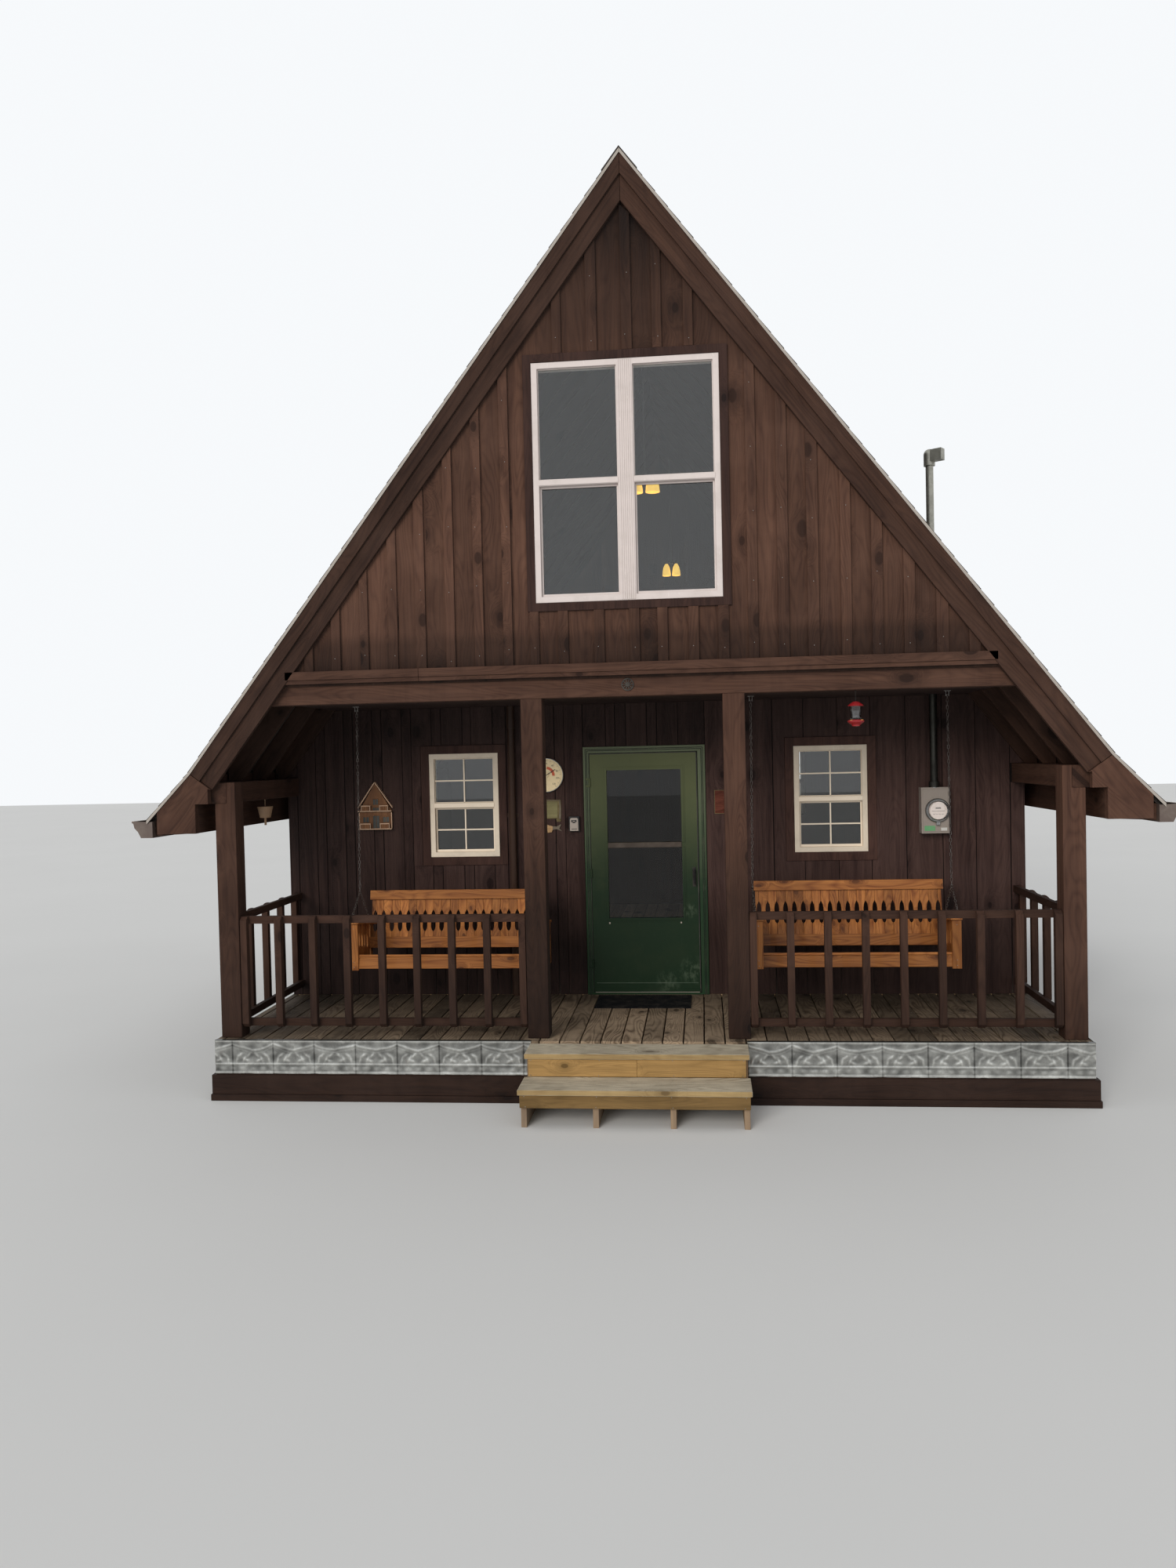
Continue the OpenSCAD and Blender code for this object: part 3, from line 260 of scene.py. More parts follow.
def new_group(name, inputs, *outputs):
    """A shader node group and its two ends; an input with the value None takes a vector."""
    tree = bpy.data.node_groups.new(name, "ShaderNodeTree")
    for label, value in inputs.items():
        kind = "NodeSocketVector" if value is None else "NodeSocketFloat"
        made = tree.interface.new_socket(name=label, in_out="INPUT", socket_type=kind)
        if value is not None:
            made.default_value = value
    for label in outputs:
        tree.interface.new_socket(name=label, in_out="OUTPUT", socket_type="NodeSocketFloat")
    return tree, tree.nodes.new("NodeGroupInput").outputs, tree.nodes.new("NodeGroupOutput").inputs


def give(tree, out, **values):
    """Links a group's results to its way out."""
    for label, value in values.items():
        tree.links.new(value, out[label])
    return tree


def wood_group():
    """Grain that runs along Z: broad figure, growth rings, fine fibre, knots and a height."""
    tree, given, out = new_group("Wood figure", {
        "Vector": None, "Board": 0.0, "Knot Spread": 3.2, "Knot Share": 0.45, "Saw Marks": 0.0, "Rings": 0.4,
    }, "Figure", "Fibre", "Knots", "Height")
    place = vectors(tree, "ADD", given["Vector"], scaled(tree, (13.1, 7.7, 29.3), given["Board"]))
    part = parts(tree, place)
    spot_place = vector_of(tree, plus(tree, part[0], part[1]), times(tree, part[2], 0.6))
    spots = put(tree, "ShaderNodeTexVoronoi", {"Vector": spot_place, "Scale": given["Knot Spread"]},
                feature="F1", voronoi_dimensions="2D").outputs
    kept = maths(tree, "LESS_THAN", channel(tree, spots["Color"], 0), given["Knot Share"])
    size = ramp(tree, channel(tree, spots["Color"], 1), 0, 1, 0.06, 0.14)
    core = minus(tree, 1.0, maths(tree, "DIVIDE", spots["Distance"], size), True)
    halo = minus(tree, 1.0, maths(tree, "DIVIDE", spots["Distance"], times(tree, size, 2.6)), True)
    knots = maths(tree, "MAXIMUM", ramp(tree, core, 0.0, 0.45, smooth=True),
                  times(tree, ramp(tree, halo, 0.0, 0.8, smooth=True), 0.5))
    knots = times(tree, knots, kept)
    swirl = times(tree, ramp(tree, spots["Distance"], 0.32, 0.05, smooth=True), kept)
    wander = noise(tree, stretched(tree, place, 2.6, 2.6, 0.5), 1.0, 2.0)
    pushed = plus(tree, times(tree, wander, 2.2), times(tree, swirl, 0.9))
    lifted = vector_of(tree, pushed, pushed)
    grain_place = vectors(tree, "ADD", stretched(tree, place, 21.0, 21.0, 0.75), lifted)
    figure = noise(tree, grain_place, 1.0, 4.0, 0.62)
    ring_place = vectors(tree, "ADD", stretched(tree, place, 7.0, 7.0, 0.8), lifted)
    slow = times(tree, noise(tree, ring_place, 1.0, 1.0, 0.4), 17.0)
    rings = ramp(tree, maths(tree, "PINGPONG", slow, 0.5), 0.0, 0.33)
    fibre = noise(tree, stretched(tree, place, 260.0, 260.0, 5.0), 1.0, 3.0, 0.7)
    saw = noise(tree, stretched(tree, place, 6.0, 6.0, 170.0), 1.0, 2.0)
    plain = ramp(tree, figure, 0.34, 0.66)
    streaky = put(tree, "ShaderNodeMix", {0: given["Rings"], 2: plain, 3: rings}).outputs[0]
    body = plus(tree, times(tree, fibre, 0.6), times(tree, streaky, 0.5))
    body = plus(tree, body, times(tree, saw, given["Saw Marks"]))
    return give(tree, out, Figure=streaky, Fibre=ramp(tree, fibre, 0.28, 0.72), Knots=knots,
                Height=minus(tree, body, times(tree, knots, 0.5)))


def weather_group():
    """Patches, runs and splashed dirt that come from rain and from the ground."""
    tree, given, out = new_group("Weather", {"Vector": None, "Splash Top": 0.5}, "Patches", "Runs", "Splash")
    patches = noise(tree, given["Vector"], 1.7, 5.0, 0.6)
    runs = noise(tree, stretched(tree, given["Vector"], 9.0, 9.0, 0.35), 1.0, 4.0, 0.6)
    edge = plus(tree, parts(tree, given["Vector"])[2], times(tree, patches, -0.35))
    above = minus(tree, given["Splash Top"], edge)
    return give(tree, out, Patches=ramp(tree, patches, 0.35, 0.7, smooth=True),
                Runs=ramp(tree, runs, 0.45, 0.75, smooth=True),
                Splash=ramp(tree, above, -0.1, 0.5, smooth=True))


def lines_group():
    """Boards side by side along a coordinate: the open joints and a number for each board."""
    inputs = {"Across": 0.0, "Pitch": 0.14, "Joint": 0.003}
    tree, given, out = new_group("Board lines", inputs, "Joints", "Board")
    steps = maths(tree, "DIVIDE", given["Across"], given["Pitch"])
    number = maths(tree, "FLOOR", steps)
    middle = maths(tree, "ABSOLUTE", minus(tree, maths(tree, "FRACT", steps), 0.5))
    reach = times(tree, minus(tree, 0.5, middle), given["Pitch"])
    chance = put(tree, "ShaderNodeTexWhiteNoise", {"W": number}, noise_dimensions="1D").outputs[0]
    return give(tree, out, Joints=maths(tree, "LESS_THAN", reach, given["Joint"]), Board=chance)


def wear_group():
    """Small scuffs, dust and specks for painted and metal pieces."""
    tree, given, out = new_group("Scuffs and dust", {"Vector": None, "Scale": 1.0}, "Dust", "Scuffs", "Grit")
    place = scaled(tree, given["Vector"], given["Scale"])
    dust = noise(tree, place, 6.0, 6.0, 0.65)
    scuffs = noise(tree, stretched(tree, place, 90.0, 90.0, 14.0), 1.0, 4.0, 0.6)
    return give(tree, out, Dust=ramp(tree, dust, 0.42, 0.75, smooth=True),
                Grit=noise(tree, place, 420.0, 3.0, 0.6),
                Scuffs=ramp(tree, scuffs, 0.62, 0.72, smooth=True))


# Kinds of material

GROUPS = {}
MATERIALS = {}


def group(tree, name, inputs):
    return put(tree, "ShaderNodeGroup", inputs, node_tree=GROUPS[name]).outputs


def wear(tree, place, scale):
    return group(tree, "wear", {"Vector": place, "Scale": scale})


def shader(name, **plain):
    """A new material with a Principled shader; plain holds the values that are the same all over."""
    material = bpy.data.materials.new(name)
    material.use_nodes = True
    tree = material.node_tree
    skin = tree.nodes["Principled BSDF"]
    for key, value in plain.items():
        skin.inputs[key.replace("_", " ")].default_value = value
    MATERIALS[name] = material
    return tree, skin


def place_vector(tree, grain):
    """Object coordinates, turned so that the grain runs along Z."""
    place = coordinates(tree)
    if grain == "Z":
        return place
    part = parts(tree, place)
    if grain == "X":
        return vector_of(tree, part[1], part[2], part[0])
    if grain == "Y":
        return vector_of(tree, part[0], part[2], part[1])
    side = maths(tree, "ABSOLUTE", part[0])
    rise, run = math.sin(MAIN_SLOPE), math.cos(MAIN_SLOPE)
    across = plus(tree, times(tree, side, rise), times(tree, part[2], run))
    along = minus(tree, times(tree, side, run), times(tree, part[2], rise))
    hand = plus(tree, along, times(tree, maths(tree, "SIGN", part[0]), 7.3))
    return vector_of(tree, across, part[1], hand)


def graded(tree, colour, levels, axis=2, start=0.0):
    """Multiplies a colour by a factor that follows a coordinate through given (place, factor) pairs."""
    way = parts(tree, coordinates(tree))[axis]
    if axis == 0:
        way = maths(tree, "ABSOLUTE", way)
    factor = levels[0][1]
    for (low, before), (high, after) in zip(levels, levels[1:]):
        factor = times(tree, ramp(tree, way, low + start, high + start, 1.0, after / before, True), factor)
    return shaded(tree, colour, factor)


def wood(name, light, deep, grain="Z", rough=0.78, relief=0.5, knots=0.45, spread=3.2, tone=0.22, worn=0.25,
         splash=NO_SPLASH, saw=0.2, rings=0.35, lines=None, levels=(), sideways_shade=(), depth=(), **plain):
    """Boards with figure, rings, fibre, knots, runs of weather and splashed dirt near the ground; the factors
    graded along height, across and in depth paint light and shade on posts, walls, gable and deck.
    """
    tree, skin = shader(name, **{"Specular_IOR_Level": 0.28, **plain})
    world, board = coordinates(tree), board_number(tree)
    if lines:
        axis, pitch, joint, offset = lines
        across = minus(tree, parts(tree, world)[axis], offset)
        row = group(tree, "lines", {"Across": across, "Pitch": pitch, "Joint": joint})
        board = row["Board"]
    grainy = group(tree, "wood", {"Vector": place_vector(tree, grain), "Board": board, "Knot Share": knots,
                                  "Knot Spread": spread, "Saw Marks": saw, "Rings": rings})
    rain = group(tree, "weather", {"Vector": world, "Splash Top": splash})
    colour = blend(tree, grainy["Figure"], rgba(deep), rgba(light))
    shade = plus(tree, times(tree, grainy["Fibre"], 0.34), 0.80)
    colour = shaded(tree, colour, times(tree, shade, board_tone(tree, board, 1.0 - tone, 1.0 + tone)))
    colour = lay(tree, colour, rain["Patches"], worn, [min(1.0, c * 1.55 + 0.012) for c in light])
    colour = lay(tree, colour, rain["Runs"], worn * 0.8, toned(deep, 0.6))
    colour = lay(tree, colour, grainy["Knots"], 0.85, toned(deep, 0.45))
    colour = lay(tree, colour, rain["Splash"], 0.35, DUST)
    height = grainy["Height"]
    if lines:
        colour = lay(tree, colour, row["Joints"], 0.85, toned(deep, 0.15))
        height = minus(tree, height, times(tree, row["Joints"], 2.0))
    # Graded factors along height, across and in depth: painted light and shade.
    for pairs, axis, start in ((levels, 2, DECK_LEVEL), (sideways_shade, 0, 0.0), (depth, 1, PORCH_LINE)):
        if pairs:
            colour = graded(tree, colour, pairs, axis, start)
    dull = ramp(tree, grainy["Fibre"], 0.0, 1.0, rough - 0.08, rough + 0.08)
    surface(tree, skin, colour, dull, relief, 0.003, height)


def paint(name, colour, rough=0.4, dusty=0.22, dust=(0.33, 0.29, 0.24), scale=1.0, lit_top=None, rubbed=(),
          **plain):
    """Enamel or plastic with dust and scuffs; a paler top colour with its two heights paints the light that
    falls on the upper part of the door, and rubbed gives the (x, z, radius) of pale worn places on the storm
    door."""
    tree, skin = shader(name, **plain)
    place = coordinates(tree)
    marks = wear(tree, place, scale)
    tint = rgba(colour)
    # Paler towards the top: painted light on the upper part of the door and its frame.
    if lit_top:
        wander = plus(tree, parts(tree, place)[2], times(tree, marks["Dust"], 0.12))
        lit_share = ramp(tree, wander, lit_top[1] + DECK_LEVEL, lit_top[2] + DECK_LEVEL, smooth=True)
        tint = blend(tree, lit_share, tint, rgba(lit_top[0]))
    tint = lay(tree, tint, marks["Dust"], dusty, dust)
    tint = lay(tree, tint, marks["Scuffs"], 0.3, [min(1.0, c * 1.5 + 0.02) for c in colour])
    for x, z, radius in rubbed:
        away = put(tree, "ShaderNodeVectorMath", {0: place, 1: (x, PORCH_LINE + DOOR_FACE, z + DECK_LEVEL)},
                   operation="DISTANCE").outputs["Value"]
        patchy = ramp(tree, noise(tree, stretched(tree, place, 30.0, 30.0, 16.0), 1.0, 4.0, 0.65), 0.46, 0.64)
        amount = times(tree, ramp(tree, away, radius, radius * 0.3, smooth=True), patchy)
        tint = lay(tree, tint, amount, 0.6, (0.085, 0.115, 0.075))
    dull = ramp(tree, marks["Dust"], 0.0, 1.0, rough, rough + 0.22)
    dull = plus(tree, dull, times(tree, marks["Scuffs"], 0.1))
    surface(tree, skin, tint, dull, 0.06, 0.002, marks["Grit"])


def metal(name, colour, rough=0.35, spangle=0.0, rust=0.0, scale=1.0, relief_shading=0.0, levels=()):
    """Bare or galvanised metal with spangle, dull patches and a little rust; painted shade in the hollows and
    painted highlight on the tops of an embossed relief, and darker towards the bottom below given heights.
    """
    tree, skin = shader(name, Metallic=0.9)
    place = coordinates(tree)
    marks = wear(tree, place, scale)
    cells = put(tree, "ShaderNodeTexVoronoi", {"Vector": place, "Scale": 55.0 * scale}).outputs["Color"]
    bright = ramp(tree, channel(tree, cells, 0), 0.0, 1.0, 1.0 - spangle, 1.0)
    tint = shaded(tree, rgba(colour), bright)
    tint = lay(tree, tint, marks["Dust"], 0.45, toned(colour, 0.55))
    tint = lay(tree, tint, ramp(tree, marks["Dust"], 0.55, 0.9), rust, (0.16, 0.075, 0.035))
    # Painted shade in the hollows and painted highlight on the tops of the relief.
    if relief_shading:
        tint = shaded(tree, tint, ramp(tree, board_number(tree), 0.1, 0.95, 1.0 - relief_shading, 1.3))
    if levels:
        tint = graded(tree, tint, levels, 2, DECK_LEVEL)
    dull = ramp(tree, marks["Dust"], 0.0, 1.0, rough, rough + 0.28)
    surface(tree, skin, tint, dull, 0.08, 0.002, marks["Grit"])


def glass(name, tint, bending=1.5):
    """Clean window glass with faint wipe marks; it lets light through to what stands behind it."""
    tree, skin = shader(name, Transmission_Weight=1.0, IOR=bending, Roughness=0.0)
    marks = wear(tree, coordinates(tree), 0.7)
    tree.links.new(lay(tree, rgba(tint), marks["Dust"], 0.12, toned(tint, 0.85)), skin.inputs["Base Color"])
    rays = put(tree, "ShaderNodeLightPath").outputs
    passing = maths(tree, "MAXIMUM", rays["Is Shadow Ray"], rays["Is Diffuse Ray"])
    clear = put(tree, "ShaderNodeBsdfTransparent", {0: rgba(toned(tint, 0.95))}).outputs[0]
    mixed = put(tree, "ShaderNodeMixShader", {0: passing, 1: skin.outputs[0], 2: clear}).outputs[0]
    tree.links.new(mixed, tree.nodes["Material Output"].inputs["Surface"])


def glow(name, colour, strength):
    """Lit coloured glass with paler patches."""
    tree, skin = shader(name, Roughness=0.3, Emission_Strength=strength)
    marks = wear(tree, coordinates(tree), 2.0)
    tint = blend(tree, marks["Dust"], rgba(colour), rgba([min(1.0, c * 1.35) for c in colour]))
    tree.links.new(tint, skin.inputs["Base Color"])
    tree.links.new(tint, skin.inputs["Emission Color"])


def shingle_material(colour):
    """Asphalt shingle: coarse granules in a few tones, tab by tab."""
    tree, skin = shader("shingle_granules", Specular_IOR_Level=0.25)
    place = coordinates(tree)
    grains = put(tree, "ShaderNodeTexVoronoi", {"Vector": place, "Scale": 420.0}).outputs
    tone = channel(tree, grains["Color"], 0)
    rain = group(tree, "weather", {"Vector": place, "Splash Top": NO_SPLASH})
    tint = blend(tree, ramp(tree, tone, 0.2, 1.0), rgba(toned(colour, 0.45)), rgba(toned(colour, 1.75)))
    tint = shaded(tree, tint, board_tone(tree, board_number(tree), 0.78, 1.22))
    tint = lay(tree, tint, rain["Runs"], 0.22, (0.075, 0.080, 0.055))
    tint = lay(tree, tint, rain["Patches"], 0.12, (0.12, 0.105, 0.09))
    surface(tree, skin, tint, ramp(tree, tone, 0.0, 1.0, 0.82, 0.96), 0.6, 0.002, grains["Distance"])


def mat_material():
    """Black coir with a little dust."""
    tree, skin = shader("door_mat", Specular_IOR_Level=0.2)
    place = coordinates(tree)
    tufts = put(tree, "ShaderNodeTexVoronoi", {"Vector": place, "Scale": 260.0}).outputs["Distance"]
    tint = blend(tree, ramp(tree, tufts, 0.0, 0.6), (0.016, 0.016, 0.018, 1.0), (0.005, 0.005, 0.006, 1.0))
    tint = lay(tree, tint, wear(tree, place, 1.5)["Dust"], 0.3, (0.13, 0.11, 0.09))
    surface(tree, skin, tint, ramp(tree, tufts, 0.0, 1.0, 0.85, 0.97), 0.9, 0.004, tufts)


# Mesh helpers

UP = (0, 0, 1)
FORWARD = (0, -1, 0)


def fresh():
    """An empty mesh in progress, with a number for each board."""
    bm = bmesh.new()
    bm.verts.layers.float.new("board")
    return bm


def tag(bm, verts, number):
    layer = bm.verts.layers.float["board"]
    for vert in verts:
        vert[layer] = number


def placed(x, y, z, angle=0.0, axis="Z"):
    """A turn about an axis, then a shift."""
    return Matrix.Translation((x, y, z)) @ Matrix.Rotation(angle, 4, axis)


def slab(bm, x0, x1, y0, y1, z0, z1, number=0.0, turn=None):
    """A board between two corners, turned about its own middle if turn is given."""
    middle = Matrix.Translation(((x0 + x1) / 2, (y0 + y1) / 2, (z0 + z1) / 2))
    size = Matrix.Diagonal((x1 - x0, y1 - y0, z1 - z0, 1.0))
    made = bmesh.ops.create_cube(bm, size=1.0, matrix=middle @ (turn or Matrix.Identity(4)) @ size)["verts"]
    tag(bm, made, number)
    return made


def mirrored(bm, side, near, far, *rest):
    """A slab from near to far, out from the middle on one side; side is -1 or 1."""
    return slab(bm, *sorted((side * near, side * far)), *rest)


def rod(bm, start, end, radius, end_radius=None, segments=12):
    """A closed round bar from start to end."""
    start, end = Vector(start), Vector(end)
    way = end - start
    turn = way.to_track_quat("Z", "Y").to_matrix().to_4x4()
    bmesh.ops.create_cone(bm, cap_ends=True, segments=segments, radius1=radius,
                          radius2=radius if end_radius is None else end_radius, depth=way.length,
                          matrix=Matrix.Translation((start + end) / 2) @ turn)


def head(bm, point, facing, radius=0.004, proud=0.0012):
    """A nail head at a point."""
    start, way = Vector(point), Vector(facing)
    rod(bm, start - way * 0.001, start + way * proud, radius, radius * 0.8, segments=6)


def ball(bm, middle, radius, squeeze=(1.0, 1.0, 1.0), u=16, v=10):
    matrix = Matrix.Translation(middle) @ Matrix.Diagonal((*squeeze, 1.0))
    bmesh.ops.create_uvsphere(bm, u_segments=u, v_segments=v, radius=radius, matrix=matrix)


def outline(bm, points, depth, number=0.0, at=(0.0, 0.0, 0.0)):
    """A plate whose XZ outline is given as (x, z) points, from y 0 to y depth, then shifted by at."""
    corners = [bm.verts.new((x, 0.0, z)) for x, z in points]
    grown = bmesh.ops.extrude_face_region(bm, geom=[bm.faces.new(corners)])["geom"]
    back = [item for item in grown if isinstance(item, bmesh.types.BMVert)]
    bmesh.ops.translate(bm, vec=(0.0, depth, 0.0), verts=back)
    bmesh.ops.translate(bm, vec=at, verts=corners + back)
    tag(bm, corners + back, number)
    return corners + back


def lathe(bm, middle, profile, segments=32, axis=UP):
    """A turned shape: profile holds (radius, height) points from end to end."""
    middle, axis = Vector(middle), Vector(axis).normalized()
    side = axis.orthogonal().normalized()
    chain = [bm.verts.new(middle + side * max(r, 1e-5) + axis * h) for r, h in profile]
    edges = [bm.edges.new(pair) for pair in zip(chain, chain[1:])]
    made = bmesh.ops.spin(bm, geom=chain + edges, cent=middle, axis=axis, angle=math.tau, steps=segments,
                          use_merge=True, use_duplicate=False)
    stack = chain + [item for item in made["geom_last"] if isinstance(item, bmesh.types.BMVert)]
    linked = set()
    while stack:
        vert = stack.pop()
        if vert not in linked:
            linked.add(vert)
            stack.extend(edge.other_vert(vert) for edge in vert.link_edges)
    bmesh.ops.remove_doubles(bm, verts=list(linked), dist=2e-5)


def move(bm, verts, matrix):
    bmesh.ops.transform(bm, matrix=matrix, verts=verts)


def finish_piece(name, bm, material, body="house", slot=None, hides=(), edge=0.0, steps=1, smooth=None):
    """Turns a mesh in progress, in porch metres, into a finished piece."""
    bmesh.ops.translate(bm, vec=SHIFT, verts=bm.verts)
    bmesh.ops.recalc_face_normals(bm, faces=bm.faces)
    mesh = bpy.data.meshes.new(name)
    bm.to_mesh(mesh)
    bm.free()
    made = bpy.data.objects.new(name, mesh)
    bpy.context.scene.collection.objects.link(made)
    mesh.materials.append(MATERIALS[material])
    if smooth is not None:
        mesh.shade_smooth()
        mesh.set_sharp_from_angle(angle=math.radians(smooth))
    if edge:
        bevel = made.modifiers.new("Eased edges", "BEVEL")
        bevel.width = edge
        bevel.segments = steps
        bevel.limit_method = "ANGLE"
        bevel.angle_limit = math.radians(40)
    if hides:
        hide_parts(*hides)
    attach(made, body)
    return made


def plates(name, material, boxes, **how):
    """A finished piece made of slabs only."""
    bm = fresh()
    for box in boxes:
        slab(bm, *box)
    finish_piece(name, bm, material, **how)


def dress(material, *names):
    """Gives carried-over solids their finish."""
    for name in names:
        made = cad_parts[name]
        made.data.materials.clear()
        made.data.materials.append(MATERIALS[material])


def porch(box):
    """A box of the pack, in porch metres."""
    return box[0] - SHIFT, box[1] - SHIFT


def roof_z(x, lap):
    """Height of the line that lies lap below the main roof's top, at x."""
    return RIDGE_Z - math.tan(MAIN_SLOPE) * abs(x) - lap / math.cos(MAIN_SLOPE)


# Materials

# Darker towards the deck: partly painted shade, partly dirt.
NEAR_GROUND = ((0.1, 0.45), (0.8, 0.7), (1.5, 1.0))
# Gable and its battens: painted shade under the rake and above the band, painted light in between.
HIGH_UP = ((2.64, 0.42), (2.8, 0.58), (2.92, 0.98), (3.5, 1.27), (4.0, 1.1), (4.5, 1.0), (5.1, 0.54),
           (5.8, 0.2))


def make_woods(c):
    stain, deep, lumber = tuple(c.stain), tuple(c.stain_deep), tuple(c.lumber)
    wall, wall_deep = tuple(c.wall), tuple(c.wall_deep)
    trim, trim_deep = toned(stain, 0.84), toned(deep, 0.84)
    for axis, name in (("Z", "stained_upright"), ("X", "stained_level"), ("Y", "stained_along")):
        wood(name, trim, trim_deep, axis, levels=NEAR_GROUND)
    # Posts darker towards the deck: partly painted shade, partly dirt.
    wood("stained_post", trim, trim_deep, levels=((0.1, 0.28), (0.8, 0.46), (1.5, 1.04)))
    wood("stained_corner", toned(trim, 1.12), toned(trim_deep, 1.12), tone=0.42,
         levels=((0.1, 0.45), (0.8, 0.8), (1.5, 1.0)))
    wood("stained_rake", toned(stain, 0.58), toned(deep, 0.58), "RAKE")
    wood("stained_eave", stain, deep, "RAKE")
    wood("stained_casing", (0.068, 0.034, 0.026), (0.029, 0.0145, 0.012), levels=((2.2, 1.0), (3.0, 0.62)))
    wood("base_timber", toned(stain, 0.34), toned(deep, 0.34), "X")
    wood("gable_board", stain, deep, relief=0.45, knots=0.4, spread=2.4, lines=(0, 0.2085, 0.0, 0.03),
         levels=HIGH_UP)
    wood("gable_batten", stain, deep, levels=HIGH_UP)
    # Wall boards: painted shade low down under the swings, painted light at mid height.
    wood("wall_board", wall, wall_deep, relief=0.9, knots=0.6, spread=3.0, tone=0.34, worn=0.18, saw=0.5,
         rings=0.25, levels=((0.5, 0.65), (1.0, 1.25), (1.6, 1.3), (2.3, 1.1)))
    wood("wall_gap", (0.010, 0.006, 0.005), (0.004, 0.003, 0.003), splash=0.45)
    wood("dark_ceiling", wall, wall_deep, "X", lines=(1, 0.14, 0.003, 0.0), splash=0.45)
    wood("joist_lumber", lumber, toned(lumber, 0.6), "X", worn=0.1)
    wood("floor_boards", lumber, toned(lumber, 0.6), "Y", lines=(0, 0.14, 0.002, 0.0), worn=0.08)
    # Deck: painted shade towards the sides and towards the wall.
    wood("deck_boards", tuple(c.deck), tuple(c.deck_deep), "Y", relief=1.0, knots=0.3, tone=0.55, worn=0.5,
         rings=0.85, sideways_shade=((0.55, 1.1), (1.05, 0.7), (3.0, 0.6)), depth=((0.7, 1.0), (1.4, 0.55)))
    wood("treads", tuple(c.tread), tuple(c.tread_deep), "X", relief=1.0, knots=0.3, worn=0.35, rings=0.8)
    wood("new_pine", tuple(c.fresh_pine), toned(c.fresh_pine, 0.55), "X", worn=0.15,
         levels=((-0.235, 0.62), (-0.175, 1.0)))
    wood("edge_pine", (0.42, 0.30, 0.14), (0.28, 0.18, 0.08), "X", worn=0.3)
    wood("old_pine", (0.30, 0.19, 0.10), (0.16, 0.09, 0.05), relief=0.6, worn=0.3, splash=0.3)
    for axis, name in (("Z", "pine_upright"), ("X", "pine_level"), ("Y", "pine_along")):
        wood(name, tuple(c.pine), tuple(c.pine_deep), axis, rough=0.45, relief=0.35, knots=0.55, spread=5.0,
             tone=0.26, worn=0.0, saw=0.05, rings=0.4, Coat_Weight=0.12)
    for name, light, dark, axis, rough, knots in (
            ("toy_wood", (0.20, 0.092, 0.040), (0.085, 0.034, 0.016), "Z", 0.5, 0.1),
            ("toy_light", (0.56, 0.38, 0.26), (0.36, 0.22, 0.14), "X", 0.5, 0.0),
            ("sign_olive", (0.20, 0.155, 0.075), (0.10, 0.075, 0.035), "X", 0.7, 0.1),
            ("sign_pale", (0.225, 0.20, 0.095), (0.15, 0.13, 0.062), "X", 0.7, 0.1),
            ("fish_tan", (0.50, 0.33, 0.17), (0.30, 0.17, 0.08), "X", 0.7, 0.1),
            ("fish_grey", (0.19, 0.155, 0.115), (0.10, 0.08, 0.06), "X", 0.7, 0.1),
            ("plaque_red", (0.155, 0.046, 0.028), (0.075, 0.020, 0.014), "X", 0.7, 0.2)):
        wood(name, light, dark, axis, rough, knots=knots)


def make_paints(c):
    enamel = {"dusty": 0.08, "dust": (0.10, 0.095, 0.06), "scale": 0.8, "Specular_IOR_Level": 0.2}
    # The paler top colours of the door and its frame are painted light.
    paint("door_enamel", tuple(c.green), lit_top=((0.150, 0.165, 0.078), 0.75, 2.3),
          rubbed=((0.375, 0.20, 0.15), (0.17, 0.10, 0.13), (0.36, 0.70, 0.08)), **enamel)
    paint("frame_enamel", toned(c.green, 1.6), lit_top=((0.185, 0.215, 0.130), 0.75, 2.3), **enamel)
    paint("black_iron", (0.014, 0.013, 0.013), 0.5, Specular_IOR_Level=0.25)
    paint("dial_cream", (0.93, 0.75, 0.45), 0.45, scale=2.0)
    paint("pipe_brown", (0.036, 0.017, 0.010), 0.45, 0.2, (0.08, 0.06, 0.045), Specular_IOR_Level=0.3)
    for name, colour, rough, dusty in (
            ("cream_vinyl", tuple(c.cream), 0.42, 0.25), ("white_vinyl", tuple(c.white), 0.42, 0.2),
            # The paler cream of the sash rails and bars is painted light; they are the same vinyl as the
            # frames.
            ("bar_vinyl", (0.92, 0.79, 0.63), 0.42, 0.15), ("meter_enamel", (0.30, 0.255, 0.22), 0.45, 0.3),
            ("feeder_red", (0.31, 0.014, 0.018), 0.25, 0.1),
            ("gutter_brown", (0.115, 0.085, 0.072), 0.4, 0.35),
            ("gutter_lip", (0.62, 0.58, 0.53), 0.45, 0.4), ("drip_pale", (0.40, 0.36, 0.32), 0.45, 0.4)):
        paint(name, colour, rough, dusty)
    for name, colour, rough in (
            # The pale kick-line green is a painted highlight; the near-black groove green is painted shade in
            # the door frame's grooves.
            ("highlight_green", (0.055, 0.085, 0.055), 0.4), ("groove_shade_green", (0.005, 0.009, 0.005), 0.6),
            ("bar_bronze", (0.056, 0.038, 0.027), 0.4), ("meter_face", (0.92, 0.79, 0.72), 0.5),
            ("label_green", (0.13, 0.36, 0.16), 0.5), ("label_white", (0.62, 0.60, 0.56), 0.5),
            ("dial_red", (0.62, 0.12, 0.05), 0.45), ("dial_green", (0.12, 0.30, 0.10), 0.45),
            ("dial_black", (0.03, 0.028, 0.025), 0.45), ("dial_grey", (0.25, 0.22, 0.20), 0.45),
            ("toy_pane", (0.030, 0.034, 0.030), 0.3), ("flower_yellow", (0.75, 0.42, 0.12), 0.4),
            ("cup_clay", (0.42, 0.26, 0.15), 0.6), ("box_black", (0.02, 0.02, 0.021), 0.5),
            ("box_white", (0.42, 0.36, 0.31), 0.5)):
        paint(name, colour, rough)


